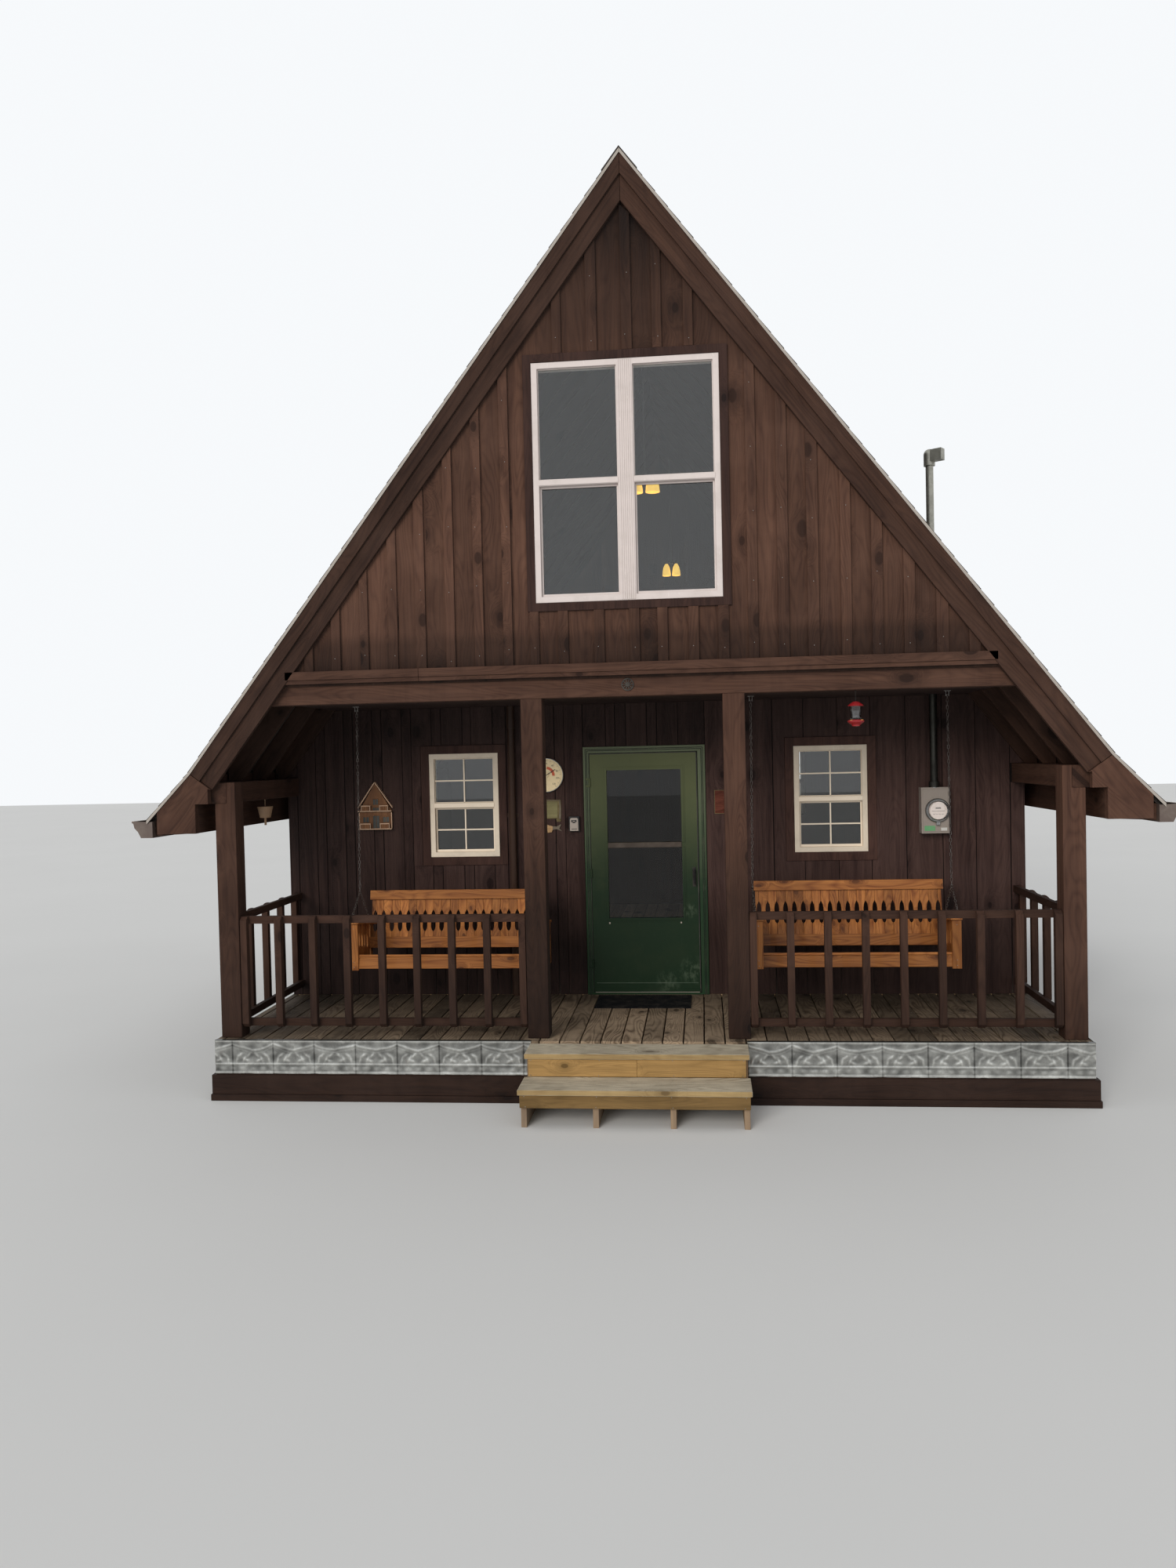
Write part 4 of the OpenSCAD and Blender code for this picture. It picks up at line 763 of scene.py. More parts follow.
def make_materials(c):
    GROUPS.update(wood=wood_group(), weather=weather_group(), lines=lines_group(), wear=wear_group())
    make_woods(c)
    make_paints(c)
    shingle_material(tuple(c.shingle))
    mat_material()
    metal("tin_galvanised", toned(c.tin, 1.27), 0.3, spangle=0.22, rust=0.12, relief_shading=0.86)
    metal("mast_zinc", (0.38, 0.37, 0.32), 0.38, spangle=0.2, levels=((2.45, 0.16), (2.62, 1.0)))
    metal("bare_zinc", (0.42, 0.42, 0.41), 0.38, spangle=0.2)
    metal("chain_steel", (0.20, 0.175, 0.16), 0.45, rust=0.35, scale=2.0)
    metal("screw_steel", (0.35, 0.33, 0.31), 0.4)
    glass("window_glass", (0.93, 0.95, 0.94), 1.58)
    glass("door_glass", (0.90, 0.88, 0.85), 1.32)
    glass("clear_jar", (0.96, 0.97, 0.97))
    glow("lamp_amber", (0.80, 0.50, 0.10), 1.1)


FINISHES = {
    "stained_upright": ("front_railings", "side_railings"), "stained_post": ("step_posts",),
    "stained_corner": ("corner_posts",), "stained_casing": ("window_casings",),
    # The floor joists take the dark base timber finish, which paints the shade in the gap under the tin.
    "base_timber": ("base_timbers", "floor_joists"), "stained_level": ("porch_beam", "band_board"),
    "stained_along": ("wall_plates", "eave_boxes"), "stained_rake": ("rafters", "rake_boards", "rake_trim"),
    "stained_eave": ("eave_panels",), "gable_board": ("gable_wall_front", "back_wall"),
    "wall_gap": ("front_wall_left", "front_wall_right", "front_wall_over_door", "side_walls"),
    "dark_ceiling": ("porch_ceiling",), "joist_lumber": ("loft_joists",),
    "floor_boards": ("house_floor", "loft_floor", "porch_deck"), "old_pine": ("step_stringers",),
    "treads": ("step_treads",), "new_pine": ("step_risers",), "tin_galvanised": ("tin_apron",),
    "shingle_granules": ("roof_left", "roof_right", "ridge_cap"), "drip_pale": ("drip_edges",),
    "gutter_brown": ("gutters",), "cream_vinyl": ("window_frames",), "window_glass": ("window_glass",),
    "door_glass": ("storm_door_glass",), "door_enamel": ("storm_door", "door_hinges"),
    "frame_enamel": ("door_frame",), "black_iron": ("door_handle", "beam_medallion"),
    "screw_steel": ("swing_hooks",), "pine_level": ("swing_left", "swing_right"),
    "chain_steel": ("swing_left_chains", "swing_right_chains"), "meter_enamel": ("meter_box",),
    "mast_zinc": ("service_mast",), "pipe_brown": ("wall_pipe",), "dial_cream": ("thermometer",),
    "sign_olive": ("wall_signs",), "toy_wood": ("wall_ornament",), "box_black": ("key_box",),
    "feeder_red": ("hanging_feeder",), "cup_clay": ("cup_feeder",), "door_mat": ("doormat",),
    "lamp_amber": ("loft_lamps",),
}


# Pieces

SLOTS = {
    "base_timbers": "base_timbers", "corner_posts": "stained_posts", "step_posts": "stained_posts",
    "porch_beam": "stained_posts", "wall_plates": "stained_plates", "rafters": "rafters",
    "band_board": "stained_trim", "rake_boards": "stained_trim", "rake_trim": "stained_trim",
    "eave_panels": "stained_trim", "eave_boxes": "eave_boards", "window_casings": "casings",
    "step_treads": "step_treads", "step_risers": "step_risers", "step_stringers": "step_framing",
    "door_frame": "door_frame",
}


def sizes():
    return bpy.context.scene.cabin_sizes


def draw(start):
    """A seeded draw of its own for each group of pieces."""
    return random.Random(sizes().seed * 1000 + start)


def any_board(rng):
    """A board's number, which picks its figure and its tone."""
    return rng.uniform(0, 20)


def islands(bm):
    """The separate solids of a mesh, as lists of vertices."""
    found, seen = [], set()
    for vert in bm.verts:
        if vert in seen:
            continue
        seen.add(vert)
        part, stack = [], [vert]
        while stack:
            here = stack.pop()
            part.append(here)
            for edge in here.link_edges:
                other = edge.other_vert(here)
                if other not in seen:
                    seen.add(other)
                    stack.append(other)
        found.append(part)
    return found


def eased(name, material, edge=0.003, steps=2, keep=None, label=None, slot=None):
    """A copy of a solid with softened edges and a number for each of its boards."""
    bm = fresh()
    bm.from_mesh(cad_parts[name].data)
    bmesh.ops.remove_doubles(bm, verts=bm.verts, dist=1e-5)
    bmesh.ops.dissolve_limit(bm, angle_limit=math.radians(0.3), verts=bm.verts, edges=bm.edges)
    bmesh.ops.translate(bm, vec=-SHIFT, verts=bm.verts)
    rng = draw(len(name))
    for part in islands(bm):
        number = rng.randrange(20) + (0.4 if part[0].co.x > 0 else -0.35) + rng.uniform(-0.1, 0.1)
        if keep and not keep(part[0].co):
            bmesh.ops.delete(bm, geom=part, context="VERTS")
        else:
            tag(bm, part, number)
    return finish_piece(label or name + "_eased", bm, material, slot=slot or SLOTS[name], hides=(name,),
                        edge=edge, steps=steps)


class CabinPart:
    bl_options = {"REGISTER", "UNDO"}


class CABIN_OT_finishes(CabinPart, bpy.types.Operator):
    """Makes the finishes and gives them to the carried-over solids"""
    bl_idname = "cabin.finishes"
    bl_label = "Finishes"

    def execute(self, context):
        make_materials(context.scene.cabin_colours)
        for material, nodes in FINISHES.items():
            dress(material, *nodes)
        return {"FINISHED"}


class CABIN_OT_timbers(CabinPart, bpy.types.Operator):
    """Posts, beam, plates, rafters, cornice boards and casings with eased edges"""
    bl_idname = "cabin.timbers"
    bl_label = "Posts and trim"

    def execute(self, context):
        for timber in (
                ("corner_posts", "stained_corner", 0.005), ("step_posts", "stained_post", 0.005),
                ("porch_beam", "stained_level", 0.005), ("base_timbers", "base_timber", 0.004),
                ("wall_plates", "stained_along", 0.005), ("rafters", "stained_rake", 0.003, 1),
                ("rake_boards", "stained_rake", 0.002), ("rake_trim", "stained_rake", 0.002),
                ("eave_panels", "stained_eave", 0.002), ("eave_boxes", "stained_along", 0.002),
                ("window_casings", "stained_casing", 0.002)):
            eased(*timber)
        return {"FINISHED"}


class CABIN_OT_band(CabinPart, bpy.types.Operator):
    """Band board under the gable, with its lip and its joint"""
    bl_idname = "cabin.band"
    bl_label = "Band board"

    def execute(self, context):
        low, high = porch(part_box("band_board"))
        joint, half_gap, lip, recess = -1.500, 0.001, 0.029, 0.008
        boxes = []
        for x0, x1, number in ((low.x, joint - half_gap, 3.1), (joint + half_gap, high.x, 8.4)):
            boxes.append((x0, x1, low.y, high.y, low.z + lip, high.z, number))
            boxes.append((x0, x1, low.y + recess, high.y, low.z, low.z + lip - CLEAR, number + 1))
        plates("band_board_with_lip", "stained_level", boxes, slot="stained_trim", hides=("band_board",),
               edge=0.002, steps=2)
        return {"FINISHED"}


GABLE_BATTENS = [
    (-2.333, -2.269), (-2.132, -2.067), (-1.920, -1.860), (-1.711, -1.646), (-1.514, -1.442),
    (-1.297, -1.232), (-1.091, -1.026), (-0.886, -0.821), (0.820, 0.888), (1.024, 1.098),
    (1.224, 1.301), (1.448, 1.519), (1.653, 1.728), (1.865, 1.941), (2.079, 2.158), (2.293, 2.368),
]
OVER_WINDOW = [(-0.497, -0.434), (-0.257, -0.183), (-0.012, 0.059), (0.199, 0.264), (0.415, 0.479)]
UNDER_WINDOW = [(-0.698, -0.634), (-0.498, -0.428), (-0.246, -0.175), (0.001, 0.071), (0.196, 0.266),
                (0.410, 0.480), (0.614, 0.687)]
REAR_HALF = [0.215, 0.430, 0.640, 0.870, 1.080, 1.290, 1.500, 1.710, 1.920, 2.130, 2.340, 2.550, 2.760,
             2.970]
REAR_MIDDLES = [-x for x in reversed(REAR_HALF)] + [0.0] + REAR_HALF
REAR_BATTEN = 0.068
GABLE_CASING = (-0.709, 0.709, 3.016, 4.7981)
REAR_CASING = (-0.709, 0.709, 3.016, 4.1121)
LOWER_CASINGS = [(-1.887, -1.157, 1.100, 2.112), (1.157, 1.887, 1.100, 2.112)]
OPEN_TOP = 9.0


def free_spans(x0, x1, low, high, holes):
    """Heights of an upright strip that the casings leave free."""
    spans = [(low, high)]
    for a, b, c, d in holes:
        if x0 < b and x1 > a:
            spans = [cut for lo, hi in spans for cut in ((lo, min(hi, c - CLEAR)), (max(lo, d + CLEAR), hi))
                     if cut[1] - cut[0] > 0.02]
    return spans


def batten(bm, x0, x1, y0, y1, low, high, number):
    """An upright strip; an open top follows the rake boards."""
    for vert in slab(bm, x0, x1, y0, y1, low, high, number):
        if vert.co.z > OPEN_TOP - 1.0:
            vert.co.z = roof_z(vert.co.x, RAKE_FULL) - 0.001


class CABIN_OT_battens(CabinPart, bpy.types.Operator):
    """Battens over the joints of the gables, with their nails"""
    bl_idname = "cabin.battens"
    bl_label = "Gable battens"

    def execute(self, context):
        rng = draw(11)
        thick = sizes().batten_thick
        face = -SIDING - thick
        front, nails, rear = fresh(), fresh(), fresh()
        runs = [(x0, x1, BAND_TOP + CLEAR, OPEN_TOP) for x0, x1 in GABLE_BATTENS]
        runs += [(x0, x1, GABLE_CASING[3] + CLEAR, OPEN_TOP) for x0, x1 in OVER_WINDOW]
        runs += [(x0, x1, BAND_TOP + CLEAR, GABLE_CASING[2] - CLEAR) for x0, x1 in UNDER_WINDOW]
        for x0, x1, low, high in runs:
            batten(front, x0, x1, face, -SIDING - HAIR, low, high, any_board(rng))
            top = min(high, roof_z(max(abs(x0), abs(x1)), RAKE_FULL)) - 0.05
            z = low + rng.uniform(0.04, 0.12)
            while z < top:
                head(nails, ((x0 + x1) / 2 + rng.uniform(-0.012, 0.012), face, z), FORWARD, 0.0035)
                z += rng.uniform(0.38, 0.5)
        finish_piece("gable_battens_front", front, "gable_batten", slot="gable_siding", edge=0.0015)
        finish_piece("gable_nails", nails, "screw_steel", slot="gable_siding")
        for x in REAR_MIDDLES:
            x0, x1 = x - REAR_BATTEN / 2, x + REAR_BATTEN / 2
            for low, high in free_spans(x0, x1, FLOOR_GAP, OPEN_TOP, [REAR_CASING] + LOWER_CASINGS):
                batten(rear, x0, x1, REAR_FACE + HAIR, REAR_FACE + thick, low, high, any_board(rng))
        finish_piece("gable_battens_rear", rear, "gable_batten", slot="gable_siding", edge=0.0015)
        return {"FINISHED"}


LEFT_EDGES = [-3.048, -2.975, -2.808, -2.725, -2.556, -2.474, -2.306, -2.225, -2.050, -1.970]
LEFT_OVER = [-1.970, -1.792, -1.710, -1.527, -1.453, -1.268, -1.155]
LEFT_UNDER = [-1.970, -1.802, -1.719, -1.531, -1.449, -1.270, -1.155]
DOOR_LEFT = [-1.155, -0.915, -0.746, -0.664, -0.5055]
OVER_DOOR = [-0.5055, -0.313, -0.235, -0.145, 0.030, 0.113, 0.287, 0.5055]
RIGHT_EDGES = [0.5055, 0.790, 1.058, 1.309, 1.582, 1.846, 2.126, 2.411, 2.675, 2.944]
CEILING = 2.4305
OVER_PLATE = 1.8655
FRAME_TOP = 2.071
CEILING_LAP = 0.034
NO_HOLE = (9.0, 9.0, 0.0, 0.0)


def notched(x0, x1, low, high, hole):
    """Outlines of a board that is cut round a casing."""
    a, b, c, d = hole
    if a >= x1 or b <= x0 or c >= high or d <= low:
        return [[(x0, low), (x1, low), (x1, high), (x0, high)]]
    if a <= x0 and b >= x1:
        return [[(x0, low), (x1, low), (x1, c), (x0, c)], [(x0, d), (x1, d), (x1, high), (x0, high)]]
    if a > x0:
        return [[(x0, low), (x1, low), (x1, c), (a, c), (a, d), (x1, d), (x1, high), (x0, high)]]
    return [[(x0, low), (x1, low), (x1, high), (x0, high), (x0, d), (b, d), (b, c), (x0, c)]]


class CABIN_OT_wall_boards(CabinPart, bpy.types.Operator):
    """Rough upright boards on the lower front wall and the side walls"""
    bl_idname = "cabin.wall_boards"
    bl_label = "Wall boards"

    def row(self, bm, edges, low, high, hole, rng):
        half, thick = sizes().board_gap / 2, sizes().board_thick
        for x0, x1 in zip(edges, edges[1:]):
            number = rng.randrange(20) + (rng.uniform(-0.5, -0.1) if x0 < 0.5 else rng.uniform(0.0, 0.45))
            left, right = x0 + half * rng.uniform(0.5, 1.2), x1 - half * rng.uniform(0.5, 1.2)
            back = rng.uniform(0.0, 0.002)
            for points in notched(left, right, low, high, hole):
                outline(bm, points, thick - back, number, (0, WALL_FACE - thick - HAIR + back, 0))

    def execute(self, context):
        rng = draw(23)
        front, sides = fresh(), fresh()
        gap = 0.0012
        left, right = [[v + g for v, g in zip(casing, (-gap, gap, -gap, gap))] for casing in LOWER_CASINGS]
        low, under_plate = FLOOR_GAP, PLATE_UNDER - FLOOR_GAP
        for edges, z0, z1, hole in (
                ([-3.112, -2.975], OVER_PLATE, CEILING, NO_HOLE), (LEFT_EDGES[:2], low, under_plate, NO_HOLE),
                (LEFT_EDGES[1:], low, CEILING, NO_HOLE), (LEFT_OVER, left[3], CEILING, NO_HOLE),
                (LEFT_UNDER, low, left[2], NO_HOLE), ([LEFT_UNDER[0], left[0]], left[2], left[3], NO_HOLE),
                (DOOR_LEFT, low, CEILING, NO_HOLE), (OVER_DOOR, FRAME_TOP + FLOOR_GAP, CEILING, NO_HOLE),
                (RIGHT_EDGES, low, CEILING, right), ([2.944, 3.048], low, under_plate, NO_HOLE),
                ([2.944, 3.112], OVER_PLATE, CEILING, NO_HOLE)):
            self.row(front, edges, z0, z1, hole, rng)
        peak = RIDGE_Z - CEILING_LAP / math.cos(MAIN_SLOPE)
        for side in (-1, 1):
            slope = (side * math.sin(MAIN_SLOPE), 0, math.cos(MAIN_SLOPE))
            bmesh.ops.bisect_plane(front, geom=front.verts[:] + front.edges[:] + front.faces[:], dist=1e-5,
                                   plane_co=(0, 0, peak), plane_no=slope, clear_outer=True)
            bmesh.ops.holes_fill(front, edges=[edge for edge in front.edges if edge.is_boundary], sides=0)
        finish_piece("front_wall_boards", front, "wall_board", slot="wall_boards", edge=0.0012)
        for side in (-1, 1):
            y = WALL_FACE - sizes().board_thick
            while y < REAR_FACE - 0.01:
                end = min(y + rng.uniform(0.2, 0.28), REAR_FACE)
                if REAR_FACE - end < 0.06:
                    end = REAR_FACE
                outer = HALF_WIDTH + sizes().board_thick - rng.uniform(0.0, 0.002)
                mirrored(sides, side, HALF_WIDTH + HAIR, outer, y + 0.002, end - 0.002, low, under_plate,
                         any_board(rng))
                y = end
        finish_piece("side_wall_boards", sides, "wall_board", slot="side_boards", edge=0.0012)
        return {"FINISHED"}


class CABIN_OT_deck(CabinPart, bpy.types.Operator):
    """Deck boards with open gaps and nail heads"""
    bl_idname = "cabin.deck"
    bl_label = "Porch deck"

    def execute(self, context):
        rng = draw(31)
        low, high = porch(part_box("porch_deck"))
        pitch, width = sizes().deck_pitch, sizes().deck_board
        joint, inset = 0.026, 0.028
        bm, nails = fresh(), fresh()
        x = joint - math.ceil((joint - low.x) / pitch) * pitch + (pitch - width) / 2
        while x < high.x - 0.01:
            x0, x1 = max(x, low.x), min(x + width, high.x)
            if x1 - x0 > 0.012:
                top = high.z - rng.uniform(0.0, 0.0015)
                slab(bm, x0, x1, low.y - rng.uniform(0, 0.002), high.y, low.z, top, any_board(rng))
            if x1 - x0 > 0.08:
                for y in (-0.035, 0.41, 0.82, 1.24):
                    for across in (x0 + inset, x1 - inset):
                        point = across + rng.uniform(-0.004, 0.004), y + rng.uniform(-0.006, 0.006), top
                        head(nails, point, UP, 0.0045, 0.0002)
            x += pitch
        finish_piece("deck_planks", bm, "deck_boards", slot="deck_boards", hides=("porch_deck",), edge=0.003,
                     steps=2)
        finish_piece("deck_nails", nails, "screw_steel", slot="deck_boards")
        return {"FINISHED"}


class CABIN_OT_steps(CabinPart, bpy.types.Operator):
    """Treads, risers and stringers of the steps, with nail heads"""
    bl_idname = "cabin.steps"
    bl_label = "Porch steps"

    def execute(self, context):
        rng = draw(37)
        treads = eased("step_treads", "treads", 0.006, 3)
        treads.data.materials.append(MATERIALS["edge_pine"])
        for side in treads.data.polygons:
            side.material_index = 1 if side.normal.y < -0.9 else 0
        eased("step_risers", "new_pine", 0.003)
        eased("step_stringers", "old_pine", 0.003)
        bm = fresh()
        for top, y0, y1, riser_y, riser in ((-0.016, -0.357, -0.071, -0.3373, (-0.165, -0.062)),
                                            (-0.175, -0.654, -0.337, -0.6323, (-0.290, -0.222))):
            for x in (-0.730, -0.253, 0.253, 0.730):
                for y in (y0 + 0.045, y0 + 0.125, y1 - 0.075):
                    point = x + rng.uniform(-0.008, 0.008), y + rng.uniform(-0.01, 0.01), top
                    head(bm, point, UP, 0.0045, 0.0003)
                for z in riser:
                    head(bm, (x * 0.985 + rng.uniform(-0.006, 0.006), riser_y, z), FORWARD)
        finish_piece("step_nails", bm, "screw_steel", slot="step_treads")
        return {"FINISHED"}


RAIL_HEIGHTS = ((0.075, 0.130), (0.825, 0.880))
UPRIGHT = 0.050
UPRIGHT_INSET = 0.029


def baluster(bm, matrix, low, high, number):
    """An upright with its outer edge cut back at top and bottom."""
    size, cut = UPRIGHT, UPRIGHT * 0.55
    points = [(-size, low + cut), (-size + cut, low), (0, low), (0, high), (-size + cut, high),
              (-size, high - cut)]
    move(bm, outline(bm, points, size, number), matrix)


def spread(start, end, count):
    """Places of uprights from end to end of a rail."""
    first, way = start + UPRIGHT_INSET, end - start - 2 * UPRIGHT_INSET
    return [first + way * i / (count - 1) for i in range(count)]


class CABIN_OT_railings(CabinPart, bpy.types.Operator):
    """Rails and bevel-ended balusters, each a board of its own"""
    bl_idname = "cabin.railings"
    bl_label = "Railings"

    def execute(self, context):
        rng = draw(41)
        low, high = porch(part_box("front_railings"))
        x0, x1, front, back = 0.7853, 2.8957, 0.056, 0.094
        uprights, rails = fresh(), fresh()
        for side in (-1, 1):
            for z0, z1 in RAIL_HEIGHTS:
                mirrored(rails, side, x0, x1, front, back, z0, z1, any_board(rng))
            for x in spread(x0, x1, 9):
                where = placed(side * x + UPRIGHT / 2, front, 0, math.pi / 2)
                baluster(uprights, where, low.z, high.z, any_board(rng))
        how = {"slot": "railings", "edge": 0.003, "steps": 2}
        finish_piece("front_balusters", uprights, "stained_upright", hides=("front_railings",), **how)
        finish_piece("front_rails", rails, "stained_level", hides=("front_railings",), **how)
        uprights, rails = fresh(), fresh()
        y0, y1, inner, outer = 0.1523, WALL_FACE - HAIR, 2.958, 2.996
        for side in (-1, 1):
            for z0, z1 in RAIL_HEIGHTS:
                mirrored(rails, side, inner, outer, y0, y1, z0, z1, any_board(rng))
            for y in spread(y0, y1, 5):
                where = placed(side * outer, y + side * UPRIGHT / 2, 0, math.pi if side > 0 else 0.0)
                baluster(uprights, where, low.z, high.z, any_board(rng))
        finish_piece("side_balusters", uprights, "stained_upright", hides=("side_railings",), **how)
        finish_piece("side_rails", rails, "stained_along", hides=("side_railings",), **how)
        return {"FINISHED"}


class CABIN_OT_shingles(CabinPart, bpy.types.Operator):
    """Courses of shingle tabs on both slopes and folded caps on the ridge"""
    bl_idname = "cabin.shingles"
    bl_label = "Shingles"

    def courses(self, bm, foot, peak, side, rng):
        """Fills one plane, from its lower to its upper edge."""
        course, tab = sizes().course, sizes().tab
        foot, peak = Vector((side * foot[0], 0, foot[1])), Vector((side * peak[0], 0, peak[1]))
        up = (peak - foot).normalized()
        out = Vector((up.z * side, 0, -up.x * side))
        where = Matrix.Translation(foot) @ Matrix((up, Vector((0, 1, 0)), out)).transposed().to_4x4()
        reach = (peak - foot).length
        front, rear = ROOF_FRONT - 0.002, ROOF_REAR + 0.002
        for k in range(math.ceil(reach / course)):
            u0 = k * course
            u1 = min(u0 + course + 0.012, reach + 0.004)
            y = front - (0.5 * tab if k % 2 else 0.0) - rng.uniform(0.0, 0.02)
            while y < ROOF_REAR:
                y0, y1 = max(y, front), min(y + tab - 0.004, rear)
                if y1 - y0 > 0.01:
                    made = slab(bm, u0 - rng.uniform(0.0, 0.003), u1, y0, y1, -0.002,
                                0.0052 + rng.uniform(0, 0.0012), any_board(rng))
                    for vert in made:
                        if vert.co.x > (u0 + u1) / 2:
                            vert.co.z -= 0.0048
                    move(bm, made, where)
                y += tab

    def execute(self, context):
        rng = draw(43)
        for side, name in ((-1, "left"), (1, "right")):
            bm = fresh()
            self.courses(bm, EAVE, KNEE, side, rng)
            self.courses(bm, KNEE, (0.0, RIDGE_Z), side, rng)
            finish_piece("shingles_" + name, bm, "shingle_granules", slot="shingles")
        bm = fresh()
        y = ROOF_FRONT - 0.002
        reach, base, thick, rim = 0.118, RIDGE_Z + 0.004, 0.007, 0.005
        foot = base - reach * math.tan(MAIN_SLOPE)
        fold = [(-reach, foot), (0, base), (reach, foot), (reach + rim, foot + rim), (0, base + thick),
                (-reach - rim, foot + rim)]
        while y < ROOF_REAR - 0.01:
            end = min(y + sizes().course + 0.014, ROOF_REAR + 0.002)
            made = outline(bm, fold, end - y, any_board(rng))
            for vert in made:
                if vert.co.y < 0.01:
                    vert.co.z += 0.004
            bmesh.ops.translate(bm, vec=(rng.uniform(-0.002, 0.002), y, 0), verts=made)
            y += sizes().course
        finish_piece("ridge_shingles", bm, "shingle_granules", slot="ridge_cap", hides=("ridge_cap",))
        return {"FINISHED"}


class CABIN_OT_gutters(CabinPart, bpy.types.Operator):
    """Pale lips, end caps and hangers of the gutters"""
    bl_idname = "cabin.gutters"
    bl_label = "Gutter parts"

    def execute(self, context):
        low, high = porch(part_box("gutters"))
        a, out, top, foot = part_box("gutters")[1].x - 0.1547, high.x, high.z, low.z
        lips, caps, hangers = fresh(), fresh(), fresh()
        points = [(a, foot), (a + 0.088, foot), (a + 0.110, foot + 0.044), (a + 0.136, foot + 0.072),
                  (a + 0.144, top - 0.016), (out, top - 0.012), (out, top), (a, top - 0.006)]
        cap = 0.0015
        for side in (-1, 1):
            mirrored(lips, side, out - 0.013, out + 0.003, low.y - 0.001, high.y + 0.001, top - 0.013,
                     top + 0.0015)
            for y in (low.y - cap, high.y):
                outline(caps, [(side * x, z) for x, z in points], cap, at=(0, y, 0))
            for i in range(12):
                y = low.y + 0.25 + i * 0.62
                mirrored(hangers, side, a + 0.004, out - 0.014, y, y + 0.022, top - 0.009, top - 0.006)
        finish_piece("gutter_lips", lips, "gutter_lip", slot="gutters", edge=0.002, steps=2)
        finish_piece("gutter_end_caps", caps, "gutter_brown", slot="gutters")
        finish_piece("gutter_hangers", hangers, "gutter_brown", slot="gutters")
        return {"FINISHED"}


class CABIN_OT_windows(CabinPart, bpy.types.Operator):
    """Frames, window bars, set-back lower sashes and beads of all windows"""
    bl_idname = "cabin.windows"
    bl_label = "Windows"

    def ring(self, bm, x0, x1, z0, z1, wide, y0, y1):
        """Four strips round the inside of an opening."""
        made = slab(bm, x0, x0 + wide, y0, y1, z0, z1) + slab(bm, x1 - wide, x1, y0, y1, z0, z1)
        made += slab(bm, x0 + wide, x1 - wide, y0, y1, z0, z0 + wide)
        return made + slab(bm, x0 + wide, x1 - wide, y0, y1, z1 - wide, z1)

    def sash_details(self, bm, x0, x1, height, bars):
        """One unit: x0 to x1 is its glass, and height is the window's whole height."""
        middle, rim, rail, bar = height / 2, WINDOW_RIM, 0.022, 0.006
        upper, lower = (middle + rail, height - rim), (rim, middle - rail)
        made = self.ring(bm, x0, x1, *upper, 0.006, 0.003, 0.0118)
        made += self.ring(bm, x0, x1, *lower, 0.013, 0.019, 0.0338)
        made += slab(bm, x0, x1, 0.012, 0.0338, rim, 0.062)
        made += slab(bm, x0 - 0.004, x1 + 0.004, -0.019, -0.013, middle - 0.018, middle + 0.018)
        if bars:
            centre = (x0 + x1) / 2
            for (low, high), y in ((upper, 0.003), (lower, 0.025)):
                half = (low + high) / 2
                made += slab(bm, centre - bar, centre + bar, y, y + 0.0088, low, high)
                made += slab(bm, x0, x1, y + 0.0004, y + 0.0084, half - bar, half + bar)
        return made

    def execute(self, context):
        eased("window_frames", "cream_vinyl", keep=lambda p: p.z < LOFT, label="window_frames_lower",
              slot="window_frames")
        eased("window_frames", "white_vinyl", keep=lambda p: p.z > LOFT, label="window_frames_gable",
              slot="window_frames")
        bm = fresh()
        width, height = WINDOW_SIZE
        for y, turn in ((WALL_FACE, 0), (REAR_FACE, math.pi)):
            for x in (-WINDOW_X, WINDOW_X):
                made = self.sash_details(bm, -width / 2 + WINDOW_RIM, width / 2 - WINDOW_RIM, height, True)
                move(bm, made, placed(x, y, WINDOW_SILL, turn))
        finish_piece("lower_window_bars", bm, "bar_vinyl", slot="window_frames", edge=0.0015)
        bm = fresh()
        for y, turn, height in ((-SIDING, 0, GABLE_HEIGHT), (REAR_FACE, math.pi, REAR_GABLE_HEIGHT)):
            made = []
            for x0, x1 in ((-0.609, -0.057), (0.057, 0.609)):
                made += self.sash_details(bm, x0, x1, height, False)
            for k in range(-3, 4):
                x = k * 0.0145
                made += slab(bm, x - 0.005, x + 0.005, -0.018, -0.0132, 0.006, height - 0.006)
            move(bm, made, placed(0, y, GABLE_SILL, turn))
        finish_piece("gable_window_sashes", bm, "white_vinyl", slot="window_frames", edge=0.0015)
        return {"FINISHED"}


FRAME_OUTER = 0.505
FRAME_FACE = 1.4729


